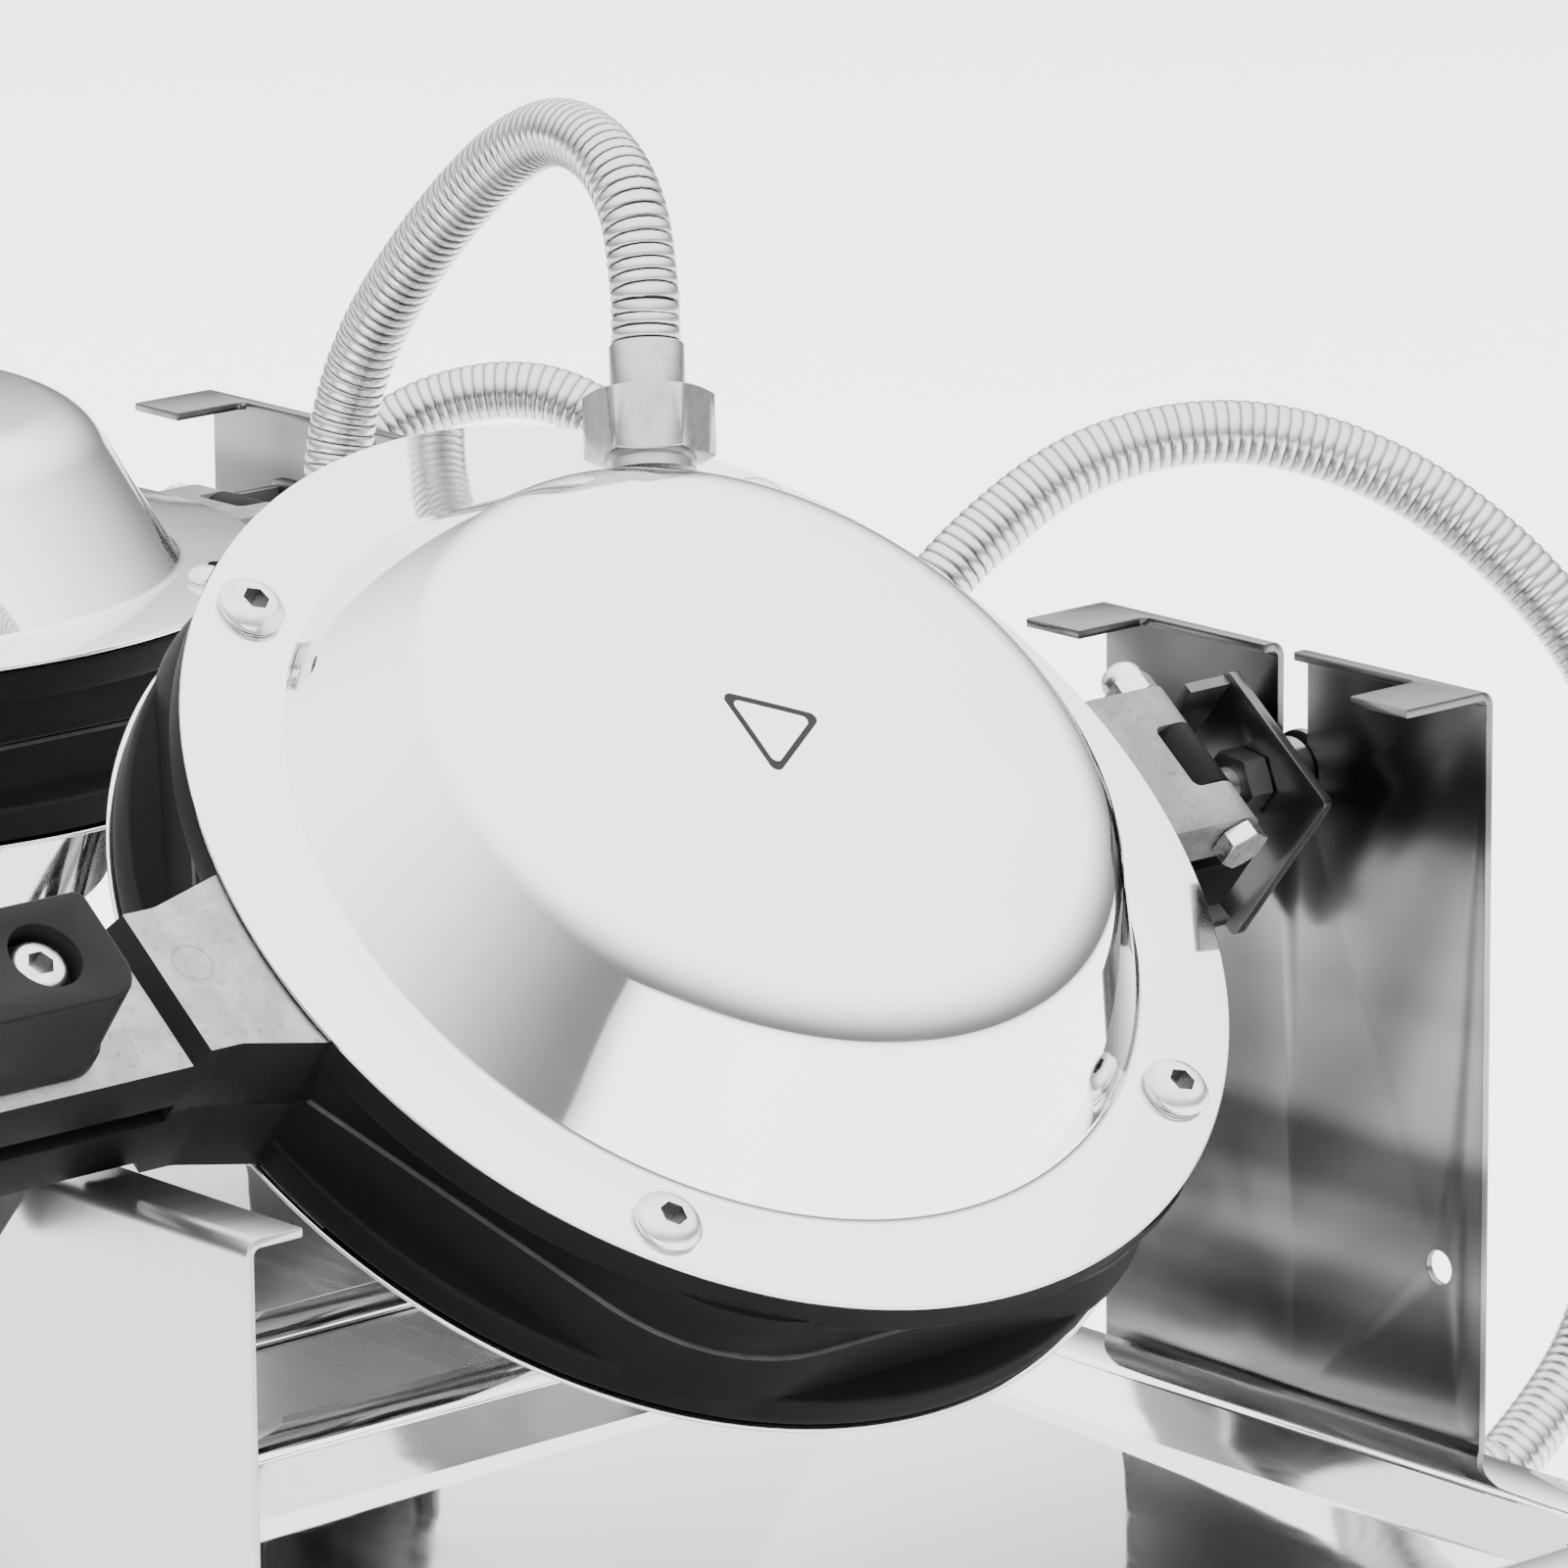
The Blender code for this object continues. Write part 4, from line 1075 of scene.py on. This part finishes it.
# ------------------------------------------------------------------ supports and base

def folded_sheet(line):
    """A sheet whose section in Y and Z follows a line with round bends, drawn out along X."""
    points = [Vector(point) for point in line]
    centre = points[:1]
    for before, here, after in zip(points, points[1:], points[2:]):
        centre += corner_arc(before, here, after, PLATE_BEND, 6)
    centre.append(points[-1])
    edge = []
    for sign in (0.5, -0.5):
        side = []
        for i, point in enumerate(centre):
            along = (centre[min(i + 1, len(centre) - 1)] - centre[max(i - 1, 0)]).normalized()
            side.append(point + Vector((-along.y, along.x)) * PLATE * sign)
        edge += side if sign > 0 else side[::-1]
    return loops_between([[(x, p.x, p.y) for p in edge] for x in (-PLATE_HALF, PLATE_HALF)])


def rear_plate():
    """Folded plate: bent top, two tabs, the bolt's slot between them and a round hole."""
    middle = REAR_FACE + PLATE / 2
    top = REAR_TOP - PLATE / 2
    sheet = folded_sheet([(middle, DECK - 0.034), (middle, top), (0.1515, top)])
    between = plate([(-0.041, 0.14, 0), (0.041, 0.14, 0), (0.041, 0.1712, 0.002),
                     (-0.041, 0.1712, 0.002)], 0.015, 0.04, steps=4)
    slot = box((-SLOT_HALF, SLOT_HALF), (0.15, 0.20), (0.0, 0.05))
    seat = rod(SLOT_HALF, (0, 0.15, 0), (0, 0.20, 0))
    hole = rod(0.0037, (0.045, 0.15, -0.101), (0.045, 0.20, -0.101))
    short = box((0.002, 0.06), (0.17, 0.18), (DECK - 0.05, DECK - 0.001))
    return bevelled(cut(sheet, between, slot, seat, hole, short), 0.0003, 2, 55)


def front_plate():
    """Folded plate with its top edge bent back and a foot on the deck."""
    low = DECK + GAP + PLATE / 2
    front = FRONT_FACE + PLATE / 2
    top = FRONT_TOP - PLATE / 2
    sheet = folded_sheet([(-0.1408, low), (front, low), (front, top), (-0.1432, top)])
    return bevelled(sheet, 0.0004, 2, 55)


def housing():
    """Base housing: a sheet box open underneath, with an opening for each tray."""
    x, y = (-BASE_HALF_WIDTH, BASE_HALF_WIDTH), (BASE_FRONT, BASE_REAR)
    low, corner, soft, sheet = DECK - BASE_HEIGHT, 0.0045, 0.003, 0.0015

    def level(inset, height):
        return ring(rectangle(x, y, inset), height, corner - inset * 0.9)

    outer = [level(0.0, low), level(0.0, DECK - soft)]
    outer += [level(soft * (1 - cos(a)), DECK - soft + soft * sin(a))
              for a in spaced(0, pi / 2, 5)[1:]]
    inside = loops_between([level(sheet, low - 0.01), level(sheet, DECK - sheet)])
    openings = [plate(rectangle((x - 0.115, x + 0.115), (-0.119, 0.158)), DECK - 0.01,
                      DECK + 0.01, 0.008) for x in UNIT_X.values()]
    return cut(cut(loops_between(outer), inside), *openings)


def tray():
    """Pressed tray: rim with a turned edge, rounded shoulder, sloping wall, dished floor."""
    top = DECK + GAP + SHEET
    floor = top - TRAY_DEPTH
    levels = [(0.1070, -0.1110, 0.1500, floor - SHEET, 0.005),
              (0.1130, -0.1170, 0.1560, top - SHEET, 0.008),
              (0.134, -0.138, 0.1735, top - SHEET, 0.004),
              (0.134, -0.138, 0.1735, top - 0.0003, 0.004),
              (0.1335, -0.1375, 0.1730, top, 0.004),
              (0.1160, -0.1200, 0.1590, top, 0.010),
              (0.1148, -0.1188, 0.1578, top - 0.0004, 0.009),
              (0.1140, -0.1180, 0.1570, top - 0.0014, 0.009),
              (0.1100, -0.1140, 0.1530, floor + 0.0014, 0.006),
              (0.1092, -0.1132, 0.1522, floor + 0.0004, 0.006),
              (0.1080, -0.1120, 0.1510, floor, 0.005)]
    return loops_between([ring(rectangle((-half, half), (front, rear)), z, corner)
                          for half, front, rear, z, corner in levels])


def rubber_foot(x, y):
    low = -AXIS_HEIGHT
    tall = DECK - BASE_HEIGHT - GAP - low
    profile = [(0.0, 0.0), (0.0140, 0.0), (0.0150, 0.0010), (0.0160, 0.0090), (0.0155, 0.0098),
               (0.0155, 0.0112), (0.0163, 0.0120), (0.0170, tall - 0.001), (0.0165, tall),
               (0.0, tall)]
    return lathe(profile, 56, (x, y, low), (x, y, low + 1.0))


def panel():
    """Front panel with rounded corners and a raised frame round each switch."""
    stand = Matrix.Translation((0, PANEL_FRONT, 0)) @ UPRIGHT
    outline = rectangle((-0.280, 0.280), (DECK - BASE_HEIGHT + 0.008, DECK - 0.008))
    body = moved(plate(outline, -0.0027, 0.0, 0.006), stand)
    steps = []
    for operation, half_x, half_z, back, out in (("UNION", 0.011, 0.015, -0.005, 0.001),
                                                 ("DIFFERENCE", 0.0072, 0.0112, -0.01, 0.0)):
        for x in UNIT_X.values():
            middle = x + SWITCH_X
            steps.append((operation, box((middle - half_x, middle + half_x),
                                         (PANEL_FRONT + back, PANEL_FRONT + out),
                                         (CONTROL_Z - half_z, CONTROL_Z + half_z))))
    return bevelled(combined(body, steps), 0.0006, 2, 50)


def control_knob():
    """Knob with a bevelled skirt, a finger bar and a pointer groove, on the axis -Y."""
    skirt = lathe([(0, 0.0005), (0.0196, 0.0005), (0.0200, 0.0010), (0.0198, 0.0030),
                   (0.0186, 0.0060), (0.0152, 0.0066), (0.0150, 0.0086), (0.0142, 0.0090),
                   (0, 0.0090)], 72, (0, 0, 0), (0, -1, 0))
    bar = bevelled(box((-0.0040, 0.0040), (-0.0199, -0.0055), (-0.0158, 0.0172)), 0.0014, 3)
    notch = box((-0.0006, 0.0006), (-0.03, -0.0192), (0.0060, 0.03))
    return cut(union(skirt, bar), notch)


def dial_marks(material, turns, count):
    """Short strokes round a knob on the panel, from the rest mark clockwise."""
    stroke = box((-0.0020, 0.0020), (-0.0004, 0.0004), (-0.0001, 0.0001))
    marks = round_a_circle(stroke, material, count, MARKS_CIRCLE, pi / 2,
                           -radians(turns) / (count - 1))
    return moved(marks, UPRIGHT)


def rocker():
    """Switch rocker with a dished face."""
    loops = []
    for y, inset in ((0.0010, 0.0), (-0.0019, 0.0), (-0.0025, 0.0006)):
        outline = rectangle((-0.0067, 0.0067), (-0.0105, 0.0105), inset)
        loops.append([(p.x, y, p.y) for p in rounded_corners(outline, 0.001, 4)])
    dish = rod(0.030, (-0.0058, -0.0310, 0), (0.0058, -0.0310, 0), 96)
    return bevelled(cut(loops_between(loops), dish), 0.0002, 2, 40)


def lamp():
    profile = [(0.0, GAP), (0.0055, GAP), (0.0055, 0.0018), (0.0045, 0.0020), (0.0045, 0.0026)]
    return lathe(profile + crowned(0.0045, 0.0026, 0.0029), 40, (0, 0, 0), (0, -1, 0))


def inlet_gland():
    nut = hexagon(0.022, (0, GAP, 0), (0, 0.006, 0), 0.0008)
    cap = lathe([(0, 0.0055), (0.0096, 0.0055), (0.0092, 0.0120), (0.0072, 0.0176),
                 (0.0045, 0.0177), (0.0045, 0.0080), (0, 0.0080)], 48, (0, 0, 0), (0, 1, 0))
    return group(nut, cap)


# ------------------------------------------------------------------ assembly

def make_unit(side, m):
    pan, stand = PAN[side], STAND[side]

    def put(name, piece, look, body, matrix, node, slot, bare_and_shade=None):
        set_piece(f"{side}_{name}", piece, m[look], body, matrix,
                  [f"{side}_{node}"] if node else [], slot, bare_and_shade)

    for half, turn, sign, casting in (("upper", Matrix(), 1, upper_casting),
                                      ("lower", HALF_TURN, -1, lower_casting)):
        body = f"{side}_{half}"
        for name, piece, look, node, slot, bare_and_shade in (
                ("casting", casting(), "casting", "pan", "black_coating", bare_half(sign)),
                ("pressed_cover", moved(cover(), turn), "polished", "cover",
                 "polished_steel", None),
                ("cover_screws", moved(cover_screws(m["plated"]), turn), "plated", None,
                 "zinc", painted_socket_shade),
                ("moulded_grip", moved(grip(), turn), "bakelite", "grip", "bakelite", None),
                ("grip_screws", moved(grip_screws(), turn), "plated", None, "zinc", painted_socket_shade),
                ("hose_nut", fitting(JUMPER_ANGLE, sign), "nickel", "hose_fitting", "zinc",
                 None)):
            put(f"{half}_{name}", piece, look, body, pan, node and f"{half}_{node}", slot, bare_and_shade)
    put("upper_triangle_mark", triangle_mark(), "print", f"{side}_upper", pan, None,
        "black_plastic")

    gland = fitting_parts(Vector((GLAND_X, BASE_REAR, GLAND_Z)), Vector((0, 1, 0)))
    for name, piece, look, node, slot in (
            ("feed_hose_nut", fitting(FEED_ANGLE, -1), "nickel", "feed_hose_fitting", "zinc"),
            ("hinge_hardware", hinge_hardware(), "plated", "hinge_bolt", "zinc"),
            ("pivot_plate", pivot_plate(), "dark_sheet", "pivot_bracket", "dark_steel"),
            ("pivot_hardware", pivot_hardware(), "dull", "pivot_bolt", "zinc")):
        put(name, piece, look, f"{side}_lower", pan, node, slot)
    for name, piece, look, node, slot in (
            ("rear_plate", rear_plate(), "rear_sheet", "rear_support", "brushed_steel"),
            ("front_plate", front_plate(), "front_sheet", "front_support", "brushed_steel"),
            ("pressed_tray", tray(), "polished", "drip_tray", "polished_steel"),
            ("gland_nut", gland, "nickel", "hose_gland", "zinc")):
        put(name, piece, look, "base", stand, node, slot)

    def at_control(x, z=CONTROL_Z, out=0.0):
        return stand @ Matrix.Translation((x, PANEL_FRONT - out, z))

    for name, x, turns, count in (("thermostat", THERMOSTAT_X, 270, 10),
                                  ("timer", TIMER_X, 300, 11)):
        put(f"{name}_dial", control_knob(), "knob", f"{side}_{name}_knob", at_control(x),
            f"{name}_knob", "black_plastic")
        put(f"{name}_marks", dial_marks(m["print"], turns, count), "print", "base",
            at_control(x), None, "black_plastic")
    put("switch_rocker", rocker(), "red", f"{side}_power_switch",
        at_control(SWITCH_X, out=0.003), "power_switch", "red_plastic")
    put("lamp_lens", lamp(), "amber", "base", at_control(SWITCH_X, LAMP_Z), "heating_lamp",
        "lamp_lens")


def make_base(m):
    for name, piece, look, node in (("folded_housing", housing(), "housing", "base_housing"),
                                    ("front_panel", panel(), "panel", "control_panel")):
        set_piece(name, piece, m[look], "base", MIDDLE, [node], "brushed_steel")
    for end, y in (("front", -0.165), ("rear", 0.150)):
        for side, x in (("right", 0.262), ("left", -0.262)):
            set_piece(f"{end}_{side}_rubber_foot", rubber_foot(x, y), m["rubber"], "base",
                      MIDDLE, [f"{end}_{side}_foot"], "rubber")
    inlet = MIDDLE @ Matrix.Translation((0, BASE_REAR, DECK - 0.070))
    set_piece("inlet_gland", inlet_gland(), m["knob"], "base", inlet, ["mains_gland"],
              "black_plastic")


def finish_hidden_nodes(m):
    """The CAD nodes that stay get finishes that read their own coordinates."""
    looks = {"bottom_plate": "bottom"}
    for side in UNIT_X:
        looks.update({f"{side}_upper_heater": "sheath", f"{side}_lower_heater": "sheath",
                      f"{side}_thermostat": "ceramic", f"{side}_timer": "case"})
    for node, look in looks.items():
        thing = bpy.data.objects[node]
        for place in thing.material_slots:
            place.material = m[look]


def make_room(m):
    """A pale floor under a soft light tent, with three softboxes."""
    bm = bmesh.new()
    bmesh.ops.create_circle(bm, cap_ends=True, segments=64, radius=ROOM_RADIUS)
    floor = from_bmesh(bm, "floor")
    floor.data.materials.append(m["floor"])
    floor.location.z = -0.0005
    bm = bmesh.new()
    bmesh.ops.create_uvsphere(bm, u_segments=32, v_segments=16, radius=ROOM_RADIUS)
    bmesh.ops.bisect_plane(bm, geom=bm.verts[:] + bm.edges[:] + bm.faces[:],
                           plane_co=(0, 0, -0.01), plane_no=(0, 0, 1), clear_inner=True)
    bmesh.ops.reverse_faces(bm, faces=bm.faces)
    tent = from_bmesh(bm, "light_tent")
    tent.data.materials.append(tent_cloth())
    world = bpy.data.worlds.new("studio")
    bpy.context.scene.world = world
    world.use_nodes = True
    world.node_tree.nodes["Background"].inputs["Color"].default_value = (1.0, 1.0, 1.0, 1.0)
    for name, place, power in (("key_light", (1.6, -2.2, 2.8), 260.0),
                               ("fill_light", (-2.4, -0.6, 2.2), 120.0),
                               ("back_light", (0.2, 2.6, 2.4), 160.0)):
        light = bpy.data.lights.new(name, "AREA")
        light.size = SOFTBOX
        light.energy = power
        softbox = bpy.data.objects.new(name, light)
        softbox.location = place
        sight = Vector((0, 0, 0.2)) - Vector(place)
        softbox.rotation_euler = sight.to_track_quat("-Z", "Y").to_euler()
        softbox.visible_glossy = False
        bpy.context.scene.collection.objects.link(softbox)


def make_finishes():
    return {
        "polished": polished_steel(),
        "casting": coated_casting(),
        "bakelite": bakelite(),
        "plated": plated_steel(),
        "dull": plated_steel("dull_steel", 0.26, (0.24, 0.38)),
        "nickel": plated_steel("nickel_plate", 0.42, (0.20, 0.32)),
        "hose": hose_steel(),
        "rear_sheet": painted_reflection_sheet(),
        "front_sheet": satin_steel("front_sheet", (1100, 12, 9), 0.50, (0.26, 0.40)),
        "dark_sheet": satin_steel("dark_sheet", (900, 900, 12), 0.12, (0.26, 0.38)),
        "housing": satin_steel("housing_sheet", (5, 900, 900), 0.56, (0.18, 0.28)),
        "panel": satin_steel("panel_sheet", (5, 1100, 1100), 0.58, (0.24, 0.38)),
        "knob": plain_surface("black_moulding", grey(0.006), grey(0.012), (0.32, 0.46),
                              60.0, 0.00004),
        "print": plain_surface("printed_mark", grey(0.002), grey(0.006), (0.35, 0.5),
                               300.0, 0.00001),
        "red": plain_surface("red_moulding", (0.42, 0.015, 0.012), (0.60, 0.03, 0.02),
                             (0.18, 0.28), 90.0, 0.00002),
        "amber": plain_surface("amber_lens", (0.62, 0.22, 0.02), (0.80, 0.34, 0.03),
                               (0.10, 0.2), 200.0, 0.00001),
        "rubber": plain_surface("foot_rubber", grey(0.010), grey(0.020), (0.65, 0.85),
                                80.0, 0.00008),
        "sheath": plain_surface("heater_sheath", (0.07, 0.06, 0.055), (0.16, 0.14, 0.12),
                                (0.40, 0.6), 120.0, 0.00004, 1.0, False),
        "ceramic": plain_surface("ceramic_case", (0.66, 0.64, 0.58), (0.78, 0.76, 0.70),
                                 (0.45, 0.65), 90.0, 0.00005, 0.0, False),
        "case": plain_surface("timer_case", grey(0.03), grey(0.05), (0.4, 0.55), 90.0,
                              0.00005, 0.0, False),
        "bottom": plain_surface("bottom_sheet", grey(0.50), grey(0.60), (0.3, 0.45), 20.0,
                                0.00002, 1.0, False),
        "floor": floor_paint(),
    }


set_camera()
TREES = {"hose": hose_tree(), "copies": copies_tree()}
finishes = make_finishes()
make_hoses(finishes["hose"])
for unit_side in UNIT_X:
    make_unit(unit_side, finishes)
make_base(finishes)
finish_hidden_nodes(finishes)
make_room(finishes)
